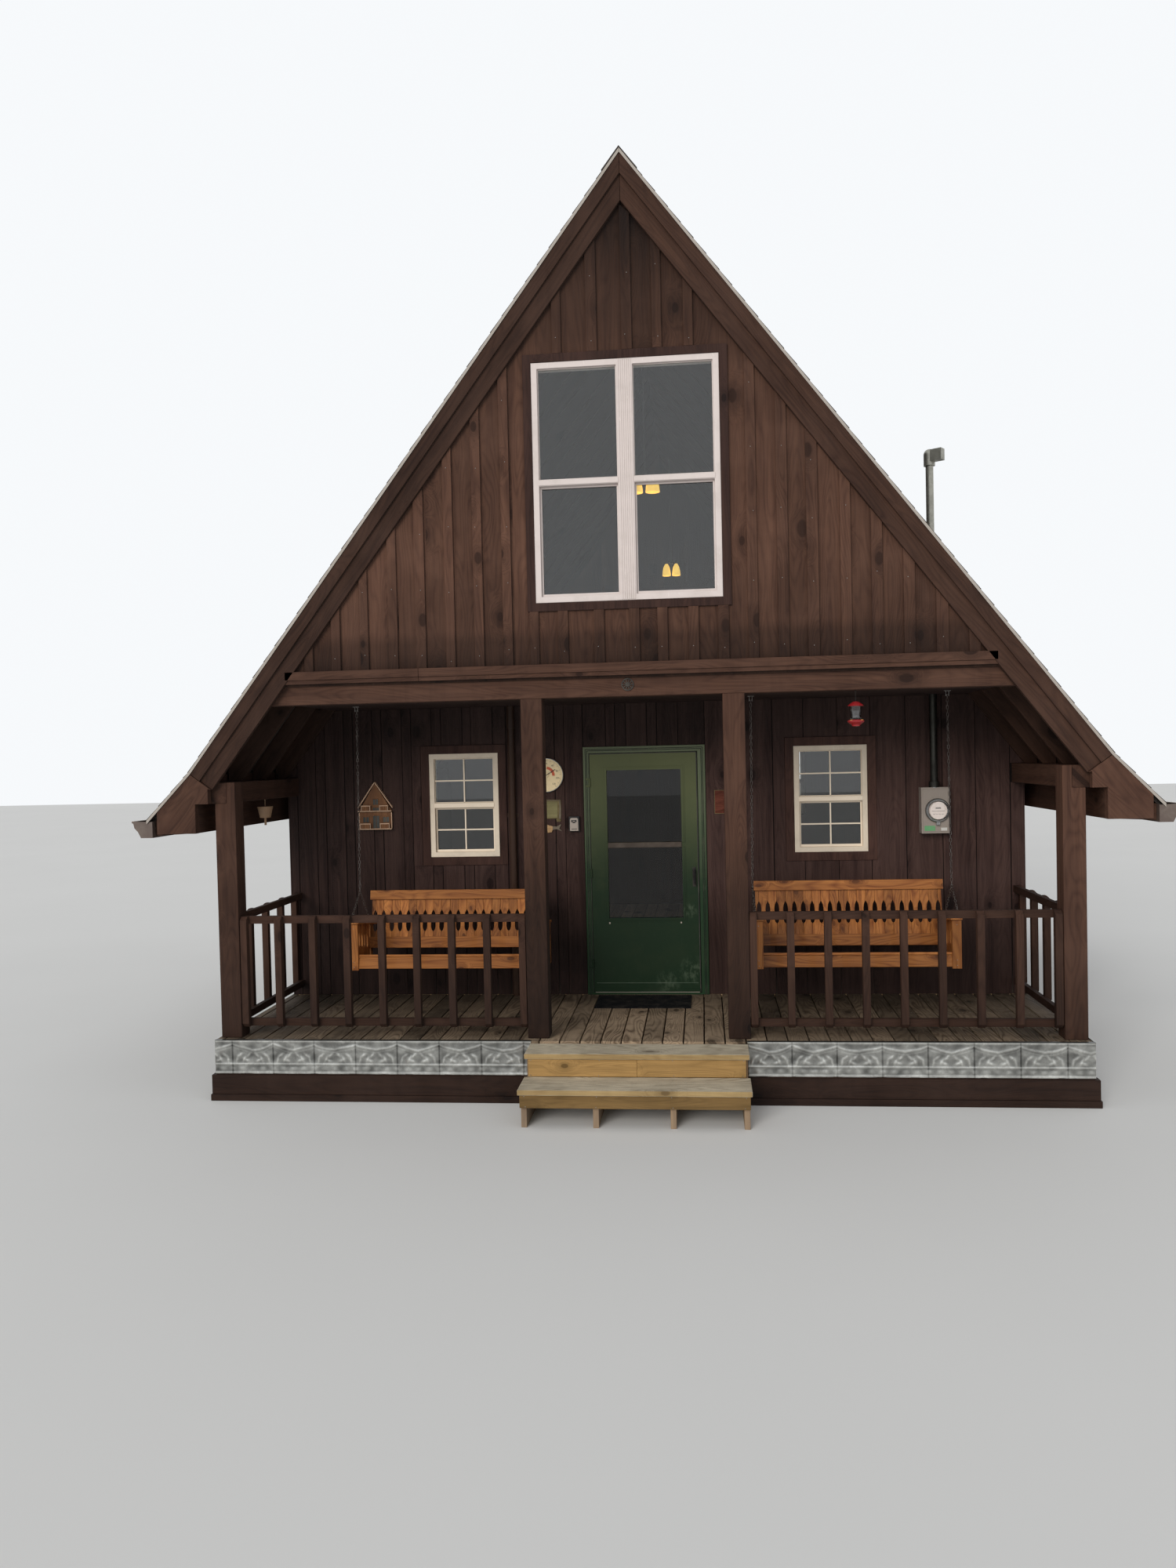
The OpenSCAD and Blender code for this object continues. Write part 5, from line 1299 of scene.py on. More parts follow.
class CABIN_OT_door(CabinPart, bpy.types.Operator):
    """Mouldings, bar, clips and sweep of the storm door, and the beads of its frame"""
    bl_idname = "cabin.door"
    bl_label = "Storm door"

    def arches(self, front, *strips):
        """Strips up both sides and over the top of the door frame, by inset and width."""
        boxes = []
        for inset, wide in strips:
            outer, top = FRAME_OUTER - inset, FRAME_TOP - inset
            for x0, x1 in ((-outer, wide - outer), (outer - wide, outer)):
                boxes.append((x0, x1, front, FRAME_FACE, 0.0008, top - wide))
            boxes.append((-outer, outer, front, FRAME_FACE, top - wide, top))
        return boxes

    def execute(self, context):
        low, high = porch(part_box("storm_door"))
        glass_low, glass_high = porch(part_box("storm_door_glass"))
        x0, x1, face, back = glass_low.x - HAIR, glass_high.x + HAIR, DOOR_FACE, DOOR_FACE - 0.0002
        on_door = {"body": "storm_door", "slot": "door_panel"}
        boxes = []
        for z0, z1, below, above in ((glass_low.z - HAIR, 1.230, 1.0, 0.1),
                                     (1.270, glass_high.z + HAIR, 0.1, 1.0)):
            for wide, proud in ((0.030, 0.004), (0.018, 0.009)):
                z2, z3 = z0 - wide * below, z1 + wide * above
                for a, b, c, d in ((x0 - wide, x0, z2, z3), (x1, x1 + wide, z2, z3), (x0, x1, z2, z0),
                                   (x0, x1, z1, z3)):
                    boxes.append((a, b, face - proud, back, c, d))
        plates("storm_door_mouldings", "door_enamel", boxes, edge=0.002, steps=2, **on_door)
        bar = (x0 + 0.002, x1 - 0.002, face - 0.012, face - 0.001, 1.228, 1.272)
        drip = (-0.440, 0.428, face - 0.0085, face - 0.007, 0.0205, 0.0240)
        clips = [(x - 0.006, x + 0.006, face - 0.011, back, 0.594, 0.608) for x in (-0.309, 0.285)]
        for name, material, boxes, edge, steps in (
                # The kick line is a paler green: painted highlight.
                ("kick_edge", "highlight_green", [(-0.430, 0.418, face - 0.004, back, 0.096, 0.102)], 0.001, 1),
                ("bar", "bar_bronze", [bar], 0.003, 2),
                ("clips", "box_white", clips, 0.002, 2),
                ("sweep", "door_enamel", [(-0.447, 0.433, face - 0.007, back, 0.0205, 0.052)], 0.002, 1),
                ("drip", "box_white", [drip], 0.0, 1)):
            plates("storm_door_" + name, material, boxes, edge=edge, steps=steps, **on_door)
        front, rear, bottom, top = face - 0.0006, face + 0.0004, low.z + 0.001, high.z - 0.001
        plates("storm_door_seal", "dial_black", [
            (low.x + 0.0005, low.x + 0.0035, front, rear, bottom, top),
            (high.x - 0.0075, high.x - 0.0005, front, rear, bottom, top),
            (low.x + 0.001, high.x - 0.001, front, rear, high.z - 0.0065, high.z - 0.0005)], **on_door)
        beads = self.arches(1.4685, (0.006, 0.010), (0.022, 0.006), (0.034, 0.008))
        # Near-black strips on the frame: painted shade in its grooves.
        groove_shade_strips = self.arches(1.4722, (0.0165, 0.005), (0.0285, 0.005))
        plates("door_frame_beads", "frame_enamel", beads, slot="door_frame", edge=0.0012)
        plates("door_frame_groove_shade", "groove_shade_green", groove_shade_strips, slot="door_frame")
        return {"FINISHED"}


LANCET = [(0.0, 0.0), (0.3, 0.06), (0.5, 0.2), (0.5, 0.66), (0.38, 0.84), (0.0, 1.0)]
ARM_SLATS = [0.620, 0.684, 0.753, 0.822, 0.891, 0.960, 1.021]
SEAT_SLOPE, ARM_SLOPE, BACK_LEAN = math.radians(10.5), math.radians(8), math.radians(-10)
SEAT_FRONT, ARM_FRONT, BACK_FOOT = (0.620, 0.495), (0.575, 0.738), (1.035, 0.400)


def seat_at(y):
    """Height of a swing's seat at y."""
    return SEAT_FRONT[1] - (y - SEAT_FRONT[0]) * math.tan(SEAT_SLOPE)


def arm_under(y):
    """Height of the underside of a swing's arm at y."""
    return ARM_FRONT[1] - (y - ARM_FRONT[0]) * math.tan(ARM_SLOPE)


def lancet_row(bm, edges, low, high, foot, wide, tall, rng, where):
    """Upright slats side by side, with a pointed slot across each joint; low, high and foot give heights."""
    last = len(edges) - 2
    for i, (x0, x1) in enumerate(zip(edges, edges[1:])):
        a, b = x0 + 0.0006, x1 - 0.0006
        right = [] if i == last else [(b - wide * r, foot(x1) + tall * h) for r, h in LANCET]
        left = [] if i == 0 else [(a + wide * r, foot(x0) + tall * h) for r, h in reversed(LANCET)]
        shape = [(a, low(a)), (b, low(b))] + right + [(b, high(b)), (a, high(a))] + left
        move(bm, outline(bm, shape, 0.016, any_board(rng)), where)


class CABIN_OT_swings(CabinPart, bpy.types.Operator):
    """The two porch swings, board by board"""
    bl_idname = "cabin.swings"
    bl_label = "Porch swings"

    def execute(self, context):
        half = 1.510 / 2
        seat = placed(0, *SEAT_FRONT, -SEAT_SLOPE, "X")
        arms = placed(0, *ARM_FRONT, -ARM_SLOPE, "X")
        lean = placed(0, *BACK_FOOT, BACK_LEAN, "X")
        for index, (node, middle) in enumerate(SWING_MIDDLES.items()):
            rng = draw(53 + index)
            drop = 0.042 if node == "swing_left" else 0.0
            level, upright, along, screws = fresh(), fresh(), fresh(), fresh()
            boards = slab(level, -half, half, 0, 0.038, -0.108, -0.0195, any_board(rng))
            boards += slab(level, -half, half, 0.392, 0.430, -0.078, -0.0195, any_board(rng))
            slat = half - 0.003
            for i in range(6):
                y = i * 0.072
                boards += slab(level, -slat, slat, -0.008 + y, 0.056 + y, -0.019, 0, any_board(rng))
            move(level, boards, seat)
            for x in (-half + 0.090, 0, half - 0.090):
                rib = slab(along, x - 0.019, x + 0.019, 0.0385, 0.3915, -0.070, -0.0195, any_board(rng))
                move(along, rib, seat)
            for side in (-1, 1):
                mirrored(upright, side, half - 0.068, half - 0.001, 0.593, 0.6195, 0.376, 0.735,
                         any_board(rng))
                arm = mirrored(along, side, half - 0.082, half + 0.004, 0, 0.542, 0, 0.022, any_board(rng))
                move(along, arm, arms)
                mirrored(upright, side, half - 0.036, half - 0.002, 1.050, 1.092, 0.345, 0.668,
                         any_board(rng))
                outer = half - 0.016 if side > 0 else 0.032 - half
                lancet_row(upright, ARM_SLATS, lambda y: seat_at(y) - 0.012, arm_under,
                           lambda y: seat_at(y) + 0.062, 0.034, 0.120, rng, placed(outer, 0, 0, math.pi / 2))
                for z in (0.400, 0.440, 0.700):
                    head(screws, (side * (half - 0.034), 0.593, z), FORWARD)
            centres = [(i - 10) * 0.069 for i in range(21)]
            edges = [centres[0] - 0.0285] + centres + [centres[-1] + 0.0285]
            lancet_row(upright, edges, lambda x: 0.090, lambda x: 0.560 - drop, lambda x: 0.249 - drop, 0.036,
                       0.177, rng, lean)
            for low, high, wide in ((0.508 - drop, 0.584 - drop, edges[-1] + 0.012), (0.076, 0.165, 0.737)):
                move(level, slab(level, -wide, wide, -0.024, -0.0005, low, high, any_board(rng)), lean)
            for bm, name, material, edge in (
                    (level, "rails", "pine_level", 0.003), (upright, "slats", "pine_upright", 0.002),
                    (along, "arms", "pine_along", 0.004), (screws, "screws", "screw_steel", 0)):
                bmesh.ops.translate(bm, vec=(middle, 0, 0), verts=bm.verts)
                finish_piece(node + "_" + name, bm, material, body=node, slot="swing_pine", hides=(node,),
                             edge=edge, steps=2)
        return {"FINISHED"}


def link_mesh():
    """One oval chain link, along Z."""
    wire, radius = sizes().link_wire / 2, 0.0072
    stretch = (sizes().link_pitch - 2 * (radius - wire)) / 2
    bm = fresh()
    ring = bmesh.ops.create_circle(bm, cap_ends=False, segments=5, radius=wire,
                                   matrix=Matrix.Translation((radius, 0, 0)))["verts"]
    edges = list({edge for vert in ring for edge in vert.link_edges})
    bmesh.ops.spin(bm, geom=ring + edges, cent=(0, 0, 0), axis=(0, 1, 0), angle=math.tau, steps=10,
                   use_merge=True, use_duplicate=False)
    bmesh.ops.remove_doubles(bm, verts=bm.verts, dist=1e-6)
    bmesh.ops.rotate(bm, cent=(0, 0, 0), matrix=Matrix.Rotation(math.tau / 20, 3, "Y"), verts=bm.verts)
    for vert in bm.verts:
        vert.co.z += math.copysign(stretch, vert.co.z)
    mesh = bpy.data.meshes.new("link")
    bm.to_mesh(mesh)
    bm.free()
    return mesh


def add_mesh(bm, mesh, matrix):
    """Adds a placed copy of a mesh."""
    before = len(bm.verts)
    bm.from_mesh(mesh)
    bm.verts.ensure_lookup_table()
    move(bm, bm.verts[before:], matrix)


def chain(bm, mesh, start, end, twist):
    """Links from start to end, each turned a quarter from the last and slowly twisting."""
    start, end = Vector(start), Vector(end)
    way = end - start
    count = max(2, round(way.length / sizes().link_pitch))
    turn = way.to_track_quat("Z", "Y").to_matrix().to_4x4()
    for k in range(count):
        where = Matrix.Translation(start + way * ((k + 0.5) / count)) @ turn
        add_mesh(bm, mesh, where @ Matrix.Rotation(k * (math.pi / 2 + twist), 4, "Z"))


KNOT = [(0.0, -0.009), (0.006, -0.007), (0.009, 0.0), (0.006, 0.007), (0.0, 0.009)]
EYE_FOOT = [(0.0, 0.0), (0.010, 0.0), (0.010, 0.003), (0.0045, 0.004), (0.0045, 0.014), (0.0, 0.015)]


class CABIN_OT_chains(CabinPart, bpy.types.Operator):
    """Link chains that carry the swings"""
    bl_idname = "cabin.chains"
    bl_label = "Swing chains"

    def execute(self, context):
        mesh = link_mesh()
        for node, middle in SWING_MIDDLES.items():
            bm = fresh()
            ends = [(side, y, z) for side in (-1, 1) for y, z in ((0.610, 0.7569), (1.080, 0.6908))]
            forks = {side: Vector((middle + side * 0.747, 0.880, 0.960)) for side in (-1, 1)}
            feet = {end: Vector((middle + end[0] * 0.736, end[1], end[2])) for end in ends}
            for side in (-1, 1):
                chain(bm, mesh, (middle + side * 0.735, 0.880, 2.400), forks[side], 0.12 * side)
            for end in ends:
                chain(bm, mesh, forks[end[0]], feet[end] + Vector((0, 0, 0.016)), 0.09)
            for side in (-1, 1):
                lathe(bm, forks[side], KNOT, 10)
            for end in ends:
                lathe(bm, feet[end], EYE_FOOT, 12)
            finish_piece(node + "_chain_links", bm, "chain_steel", body=node, slot="chain",
                         hides=(node + "_chains",), smooth=50)
        bpy.data.meshes.remove(mesh)
        return {"FINISHED"}


TIN_PATTERN = 0.3048
TIN_START = 0.1293
TIN_FOLD = 0.71
STEP_SIDE = 0.754
LEAVES = ((0.20, 0.44, 0.7), (0.42, 0.55, 1.0), (0.62, 0.44, 0.5), (0.30, 0.60, -0.3), (0.78, 0.58, 1.3))


def bulge(distance, width):
    return math.exp(-(distance / width) ** 2)


def tin_height(along, down, tall):
    """Embossing of the pressed tin, from 0 to 1: swags between peaks, leaves, and a border below a ridge."""
    side = abs((along / TIN_PATTERN) % 1.0 * 2.0 - 1.0)
    v = down / tall
    height = 0.40 + 0.28 * waves.noise(Vector((along * 14.0, down * 24.0, 1.7))) + 0.4 * bulge(v - 0.02, 0.03)
    height += 0.5 * bulge(v - TIN_FOLD, 0.02) - 0.35 * bulge(1.0 - side, 0.03)
    if v > TIN_FOLD:
        tooth = 0.5 + 0.5 * math.cos(along / TIN_PATTERN * 4.0 * math.tau)
        return height + 0.25 * tooth * bulge(v - 0.85, 0.06) + 0.4 * bulge(v - 0.97, 0.03)
    hang = 0.09 + 0.20 * (1.0 - side) ** 0.7 + 0.05 * waves.noise(Vector((along * 7.0, 0.0, 4.1)))
    height += 0.32 * bulge(v - hang, 0.03) + 0.12 * bulge(v - hang - 0.09, 0.02)
    for across, drop, angle in LEAVES:
        a, b = side - across, (v - drop) * 1.3
        along_leaf = a * math.cos(angle) + b * math.sin(angle)
        over_leaf = b * math.cos(angle) - a * math.sin(angle)
        height += 0.42 * bulge(along_leaf, 0.13) * bulge(over_leaf, 0.045)
    return height


class CABIN_OT_tin(CabinPart, bpy.types.Operator):
    """Embossed face of the pressed tin round the base"""
    bl_idname = "cabin.tin"
    bl_label = "Pressed tin"

    def sheet(self, bm, start, end, low, high, fine):
        """A grid from start to end, whose relief stands out to the right of its way."""
        start, end = Vector((*start, 0)), Vector((*end, 0))
        way = (end - start).normalized()
        out = Vector((way.y, -way.x, 0))
        long, tall = (end - start).length, high - low
        made = bmesh.ops.create_grid(bm, x_segments=round(long / fine), size=0.5,
                                     y_segments=round(tall / min(fine, 0.007)))["verts"]
        relief = sizes().tin_relief
        layer = bm.verts.layers.float["board"]
        for vert in made:
            along, down = (vert.co.x + 0.5) * long, (0.5 - vert.co.y) * tall
            # The relief height also goes into the board layer, from which the tin's finish paints highlight
            # on the tops and shade in the hollows.
            vert[layer] = max(0.0, tin_height(along - (TIN_START if start.x < -3.0 else 0.0), down, tall))
            rise = relief * vert[layer]
            vert.co = start + way * along + out * (0.0004 + rise) + Vector((0, 0, high - down))
        rim = {edge for vert in made for edge in vert.link_edges if edge.is_boundary}
        for item in bmesh.ops.extrude_edge_only(bm, edges=list(rim))["geom"]:
            if isinstance(item, bmesh.types.BMVert):
                offset = (item.co - start).dot(out)
                item.co -= out * (offset + 0.001)

    def execute(self, context):
        low, high = porch(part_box("tin_apron"))
        x0, x1, y0, y1 = low.x, high.x, low.y, high.y
        for name, sides, fine in (
                ("tin_front", [((x0 + 0.001, y0), (-STEP_SIDE, y0)),
                               ((STEP_SIDE, y0), (x1 - 0.001, y0))], 0.006),
                ("tin_sides", [((x1, y0 + 0.004), (x1, y1)), ((x0, y1), (x0, y0 + 0.004))], 0.012),
                ("tin_rear", [((x1, y1), (x0, y1))], 0.012)):
            bm = fresh()
            for start, end in sides:
                self.sheet(bm, start, end, low.z + 0.001, -0.002, fine)
            finish_piece(name, bm, "tin_galvanised", slot="pressed_tin", smooth=70)
        rng = draw(61)
        bm = fresh()
        for start, end in ((x0, -STEP_SIDE), (STEP_SIDE, x1)):
            x = start + 0.03
            while x < end:
                head(bm, (x, y0 - 0.002, -0.006), FORWARD, 0.0035)
                x += rng.uniform(0.10, 0.14)
        finish_piece("tin_nails", bm, "screw_steel", slot="pressed_tin")
        return {"FINISHED"}


class CABIN_OT_meter(CabinPart, bpy.types.Operator):
    """Electric meter with its glass cover, dial plate, ring and blank labels"""
    bl_idname = "cabin.meter"
    bl_label = "Meter"

    def execute(self, context):
        low, high = porch(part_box("meter_box"))
        face = high.y - 0.112
        x, z = 2.349, (low.z + high.z) / 2
        plates("meter_case", "meter_enamel", [
            (low.x, high.x, face, high.y, low.z, high.z),
            (low.x + 0.012, high.x - 0.012, face - 0.005, face, low.z + 0.014, high.z - 0.012)],
            slot="meter_box", hides=("meter_box",), edge=0.006, steps=3)
        bm = fresh()
        lathe(bm, (x, face - 0.004, z), [
            (0.072, 0.0), (0.096, 0.0), (0.098, 0.006), (0.096, 0.016), (0.088, 0.024), (0.081, 0.024),
            (0.079, 0.012), (0.072, 0.010), (0.072, 0.0)], 48, FORWARD)
        slab(bm, x - 0.014, x + 0.014, face - 0.034, face - 0.006, z - 0.116, z - 0.092)
        lathe(bm, ((low.x + high.x) / 2, high.y - 0.075, high.z - 0.004),
              [(0.0, 0.0), (0.040, 0.0), (0.040, 0.014), (0.034, 0.020), (0.0, 0.020)])
        finish_piece("meter_ring", bm, "bare_zinc", slot="meter_box", smooth=35)
        bm = fresh()
        lathe(bm, (x, face - 0.008, z), [(0.0, 0.0), (0.070, 0.0), (0.070, 0.030), (0.0, 0.031)], 40, FORWARD)
        finish_piece("meter_dial", bm, "meter_face", slot="meter_box", smooth=35)
        plate = face - 0.0395
        front, back = plate - 0.0008, plate + 0.001
        marks = [(x - 0.020, x + 0.020, plate - 0.001, back, z + 0.014, z + 0.026)]
        for k in range(4):
            left = x - 0.040 + k * 0.022
            marks.append((left, left + 0.014, front, back, z - 0.030, z - 0.027))
        marks.append((x - 0.050, x + 0.050, front, back, z - 0.005, z - 0.002))
        plates("meter_register", "dial_grey", marks, slot="meter_box")
        bm = fresh()
        lathe(bm, (x, face - 0.020, z), [
            (0.078, 0.0), (0.080, 0.0), (0.080, 0.050), (0.074, 0.062), (0.050, 0.067), (0.0, 0.068),
            (0.0, 0.0655), (0.049, 0.0645), (0.0725, 0.0600), (0.078, 0.049), (0.078, 0.0)], 48, FORWARD)
        cover = finish_piece("meter_cover", bm, "clear_jar", slot="clear_glass", smooth=35)
        cover.visible_shadow = False
        for name, material, x0, x1, top in (
                ("meter_label", "label_green", low.x + 0.022, low.x + 0.105, 0.062),
                ("meter_tag", "label_white", high.x - 0.070, high.x - 0.022, 0.046)):
            plates(name, material, [(x0, x1, face - 0.0062, face - 0.0045, low.z + 0.022, low.z + top)],
                   slot="meter_box", edge=0.0005)
        return {"FINISHED"}


def around(x, z, radius, angle):
    """A point of a dial, by its distance from the middle and its angle from the top."""
    return x + radius * math.sin(angle), z + radius * math.cos(angle)


def sector(bm, middle, inner, outer, start, end, steps):
    """A flat curved band in front of a dial, facing -Y."""
    x, y, z = middle
    angles = [math.radians(start + (end - start) * k / steps) for k in range(steps + 1)]
    ring = [around(x, z, outer, a) for a in angles] + [around(x, z, inner, a) for a in reversed(angles)]
    outline(bm, ring, 0.0012, at=(0, y, 0))


def numeral(bm, number, x, y, z, size):
    """A number on a dial, as a thin mesh facing -Y."""
    curve = bpy.data.curves.new("numeral", "FONT")
    curve.body, curve.size, curve.extrude = str(number), size, 0.0003
    curve.align_x, curve.align_y = "CENTER", "CENTER"
    curve.resolution_u = 2
    holder = bpy.data.objects.new("numeral", curve)
    bpy.context.scene.collection.objects.link(holder)
    bpy.context.view_layer.update()
    mesh = bpy.data.meshes.new_from_object(holder.evaluated_get(bpy.context.evaluated_depsgraph_get()))
    add_mesh(bm, mesh, placed(x, y, z, math.pi / 2, "X"))
    bpy.data.objects.remove(holder)
    bpy.data.curves.remove(curve)
    bpy.data.meshes.remove(mesh)


class CABIN_OT_thermometer(CabinPart, bpy.types.Operator):
    """Dial thermometer with rim, scale, numbers and needle"""
    bl_idname = "cabin.thermometer"
    bl_label = "Thermometer"

    def mark(self, bm, middle, radius, angle, half_wide, half_long, y0, y1):
        """A strip that points away from the middle of the dial."""
        x, z = around(*middle, radius, angle)
        slab(bm, x - half_wide, x + half_wide, y0, y1, z - half_long, z + half_long, 0.0,
             Matrix.Rotation(angle, 4, "Y"))

    def execute(self, context):
        x, z = middle = -0.816, 1.845
        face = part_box("thermometer")[0].y - SHIFT.y + 0.009
        rim = fresh()
        lathe(rim, (x, face + 0.001, z), [
            (0.137, -0.001), (0.142, -0.001), (0.1435, 0.004), (0.1415, 0.0065), (0.138, 0.0065),
            (0.137, 0.003), (0.137, -0.001)], 72, FORWARD)
        finish_piece("thermometer_rim", rim, "bare_zinc", slot="dial", smooth=35)
        scale, first, reach = fresh(), -140, 0.130
        for k in range(81):
            inner, wide = (0.112, 0.0016) if k % 5 == 0 else (0.120, 0.0009)
            self.mark(scale, middle, (inner + reach) / 2, math.radians(first + 3.5 * k), wide / 2,
                      (reach - inner) / 2, face - 0.0008, face + 0.001)
        for k in range(9):
            across, up = around(x, z, 0.097, math.radians(first + 35 * k))
            numeral(scale, -40 + 20 * k, across, face - 0.0004, up, 0.021)
        self.mark(scale, middle, 0.034, math.radians(58), 0.0022, 0.055, face - 0.0115, face - 0.0095)
        finish_piece("thermometer_scale", scale, "dial_black", slot="dial")
        for name, outer, start, end, steps in (("red", 0.072, 5, 95, 24), ("green", 0.068, -45, 0, 16)):
            band = fresh()
            sector(band, (x, face - 0.0008, z), 0.050, outer, start, end, steps)
            finish_piece("thermometer_" + name + "_band", band, "dial_" + name, slot="dial")
        return {"FINISHED"}


class CABIN_OT_wall_things(CabinPart, bpy.types.Operator):
    """Wooden house ornament, hanging feeder, key box and small sign boards"""
    bl_idname = "cabin.wall_things"
    bl_label = "Small things"

    def ornament(self):
        low, high = porch(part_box("wall_ornament"))
        w, h = 0.140, high.z - low.z
        body, light, dark = fresh(), fresh(), fresh()
        wall, eave = h * 0.36, h * 0.39
        shape = [(-w, 0), (w, 0), (w, wall), (w + 0.004, eave), (0, h - 0.012), (-w - 0.004, eave),
                 (-w, wall)]
        outline(body, shape, 0.030, at=(0, -0.030, 0))
        for k in range(9):
            x = -0.105 + k * 0.0262
            slab(body, x, x + 0.0025, -0.0312, -0.030, 0.004, h * (0.36 if abs(k - 4) > 3 else 0.5))
        for side in (-1, 1):
            rise, run = h * 0.54, w + 0.010
            reach, middle = math.hypot(run, rise), h * 0.73
            slab(light, side * run / 2 - 0.004, side * run / 2 + 0.004, -0.040, -0.001, middle - reach / 2,
                 middle + reach / 2, 0.3, Matrix.Rotation(-side * math.atan2(run, rise), 4, "Y"))
        for level, ends in ((0.0, ((-0.128, -0.036), (0.044, 0.128))),
                            (0.152, ((-0.117, -0.036), (0.042, 0.117)))):
            slab(light, -w - 0.006, w + 0.006, -0.060, -0.0305, level, level + 0.009, 0.7)
            foot, top = level + 0.009, level + 0.0455
            for a, b in ends:
                slab(light, a, b, -0.060, -0.054, level + 0.045, level + 0.053, 0.1)
                for post in (a, b - 0.007):
                    slab(light, post, post + 0.007, -0.060, -0.053, foot, top, 0.5)
                pitch = (b - a - 0.018) / 3
                for k in range(3):
                    stave = a + 0.009 + k * pitch
                    slab(body, stave, stave + pitch - 0.0015, -0.057, -0.055, foot, top, 0.2 * k)
        for side in (-1, 1):
            slab(light, side * w - 0.004, side * w + 0.004, -0.0345, -0.0305, 0.009, 0.145, 0.3)
        for a, b, c, d in ((-0.021, 0.034, 0.009, 0.115), (-0.107, -0.057, 0.060, 0.105),
                           (0.066, 0.118, 0.060, 0.105), (-0.021, 0.034, 0.161, 0.185),
                           (-0.018, 0.026, 0.210, 0.256)):
            slab(dark, a, b, -0.0325, -0.031, c, d)
            middle, rim = (a + b) / 2, 0.005
            for x0, x1, z0, z1 in ((a - rim, a, c, d), (b, b + rim, c, d), (a - rim, b + rim, d, d + rim),
                                   (middle - 0.002, middle + 0.002, c, d)):
                slab(body, x0, x1, -0.035, -0.0305, z0, z1, 0.2)
        for bm, name, material in (
                (body, "ornament_house", "toy_wood"), (light, "ornament_rails", "toy_light"),
                (dark, "ornament_panes", "toy_pane")):
            bmesh.ops.translate(bm, vec=((low.x + high.x) / 2, high.y, low.z), verts=bm.verts)
            finish_piece(name, bm, material, slot="ornament", hides=("wall_ornament",), edge=0.0008)

    def feeder(self):
        low, high = porch(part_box("hanging_feeder"))
        x, y, z = (low.x + high.x) / 2, (low.y + high.y) / 2, low.z
        red, jar, wire, petals = fresh(), fresh(), fresh(), fresh()
        lathe(red, (x, y, z), [(0.0, 0.0), (0.026, 0.002), (0.030, 0.012), (0.052, 0.026), (0.058, 0.034),
                               (0.057, 0.040), (0.050, 0.045), (0.036, 0.048), (0.0, 0.049)], 48)
        lathe(red, (x, y, z + 0.140), [(0.0, 0.0), (0.052, 0.0), (0.056, 0.004), (0.046, 0.013),
                                       (0.022, 0.030), (0.0, 0.034)], 48)
        finish_piece("feeder_cap_and_base", red, "feeder_red", slot="feeder", hides=("hanging_feeder",),
                     smooth=35)
        lathe(jar, (x, y, z + 0.0495), [
            (0.0, 0.0), (0.034, 0.0), (0.036, 0.008), (0.033, 0.030), (0.041, 0.062), (0.043, 0.0895),
            (0.0405, 0.0895), (0.0385, 0.062), (0.0305, 0.030), (0.033, 0.010), (0.0, 0.004)], 40)
        finish_piece("feeder_bottle", jar, "clear_jar", slot="clear_glass", smooth=35)
        rod(wire, (x, y, z + 0.172), (x, y, high.z - 0.012), 0.0018, segments=8)
        lathe(wire, (x, y, high.z - 0.012), [(0.0, 0.0), (0.005, 0.001), (0.005, 0.009), (0.0, 0.012)], 12)
        finish_piece("feeder_wire", wire, "black_iron", slot="feeder", smooth=35)
        for k in range(4):
            angle = math.pi / 4 + k * math.pi / 2
            px, py = x + 0.050 * math.cos(angle), y + 0.050 * math.sin(angle)
            for j in range(5):
                turn = j * math.tau / 5
                middle = px + 0.006 * math.cos(turn), py + 0.006 * math.sin(turn), z + 0.044
                ball(petals, middle, 0.0045, (1, 1, 0.5), 8, 6)
        finish_piece("feeder_flowers", petals, "flower_yellow", slot="feeder", smooth=60)

    def key_box(self):
        low, high = porch(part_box("key_box"))
        x, half, r = (low.x + high.x) / 2, 0.0345, 0.016
        turns = [math.radians(15 * k) for k in range(7)]
        top = [(half - r + r * math.sin(t), 1.485 - r + r * math.cos(t)) for t in reversed(turns)]
        bm = fresh()
        outline(bm, [(-half, 1.377), (half, 1.377)] + top + [(-px, pz) for px, pz in reversed(top)], 0.0015,
                at=(x, low.y - 0.0016, 0))
        finish_piece("key_box_face", bm, "box_white", slot="key_box", edge=0.0005)
        plates("key_box_slots", "box_black", [
            (x + a, x + b, low.y - 0.0024, low.y - 0.0014, c, d) for a, b, c, d in (
                (-0.024, 0.021, 1.450, 1.467), (-0.012, 0.010, 1.442, 1.450), (-0.022, 0.023, 1.390, 1.395))],
            slot="key_box")
        button = (x - 0.010, x + 0.008, low.y - 0.0030, low.y - 0.0022, 1.454, 1.460)
        plates("key_box_button", "box_white", [button], slot="key_box")

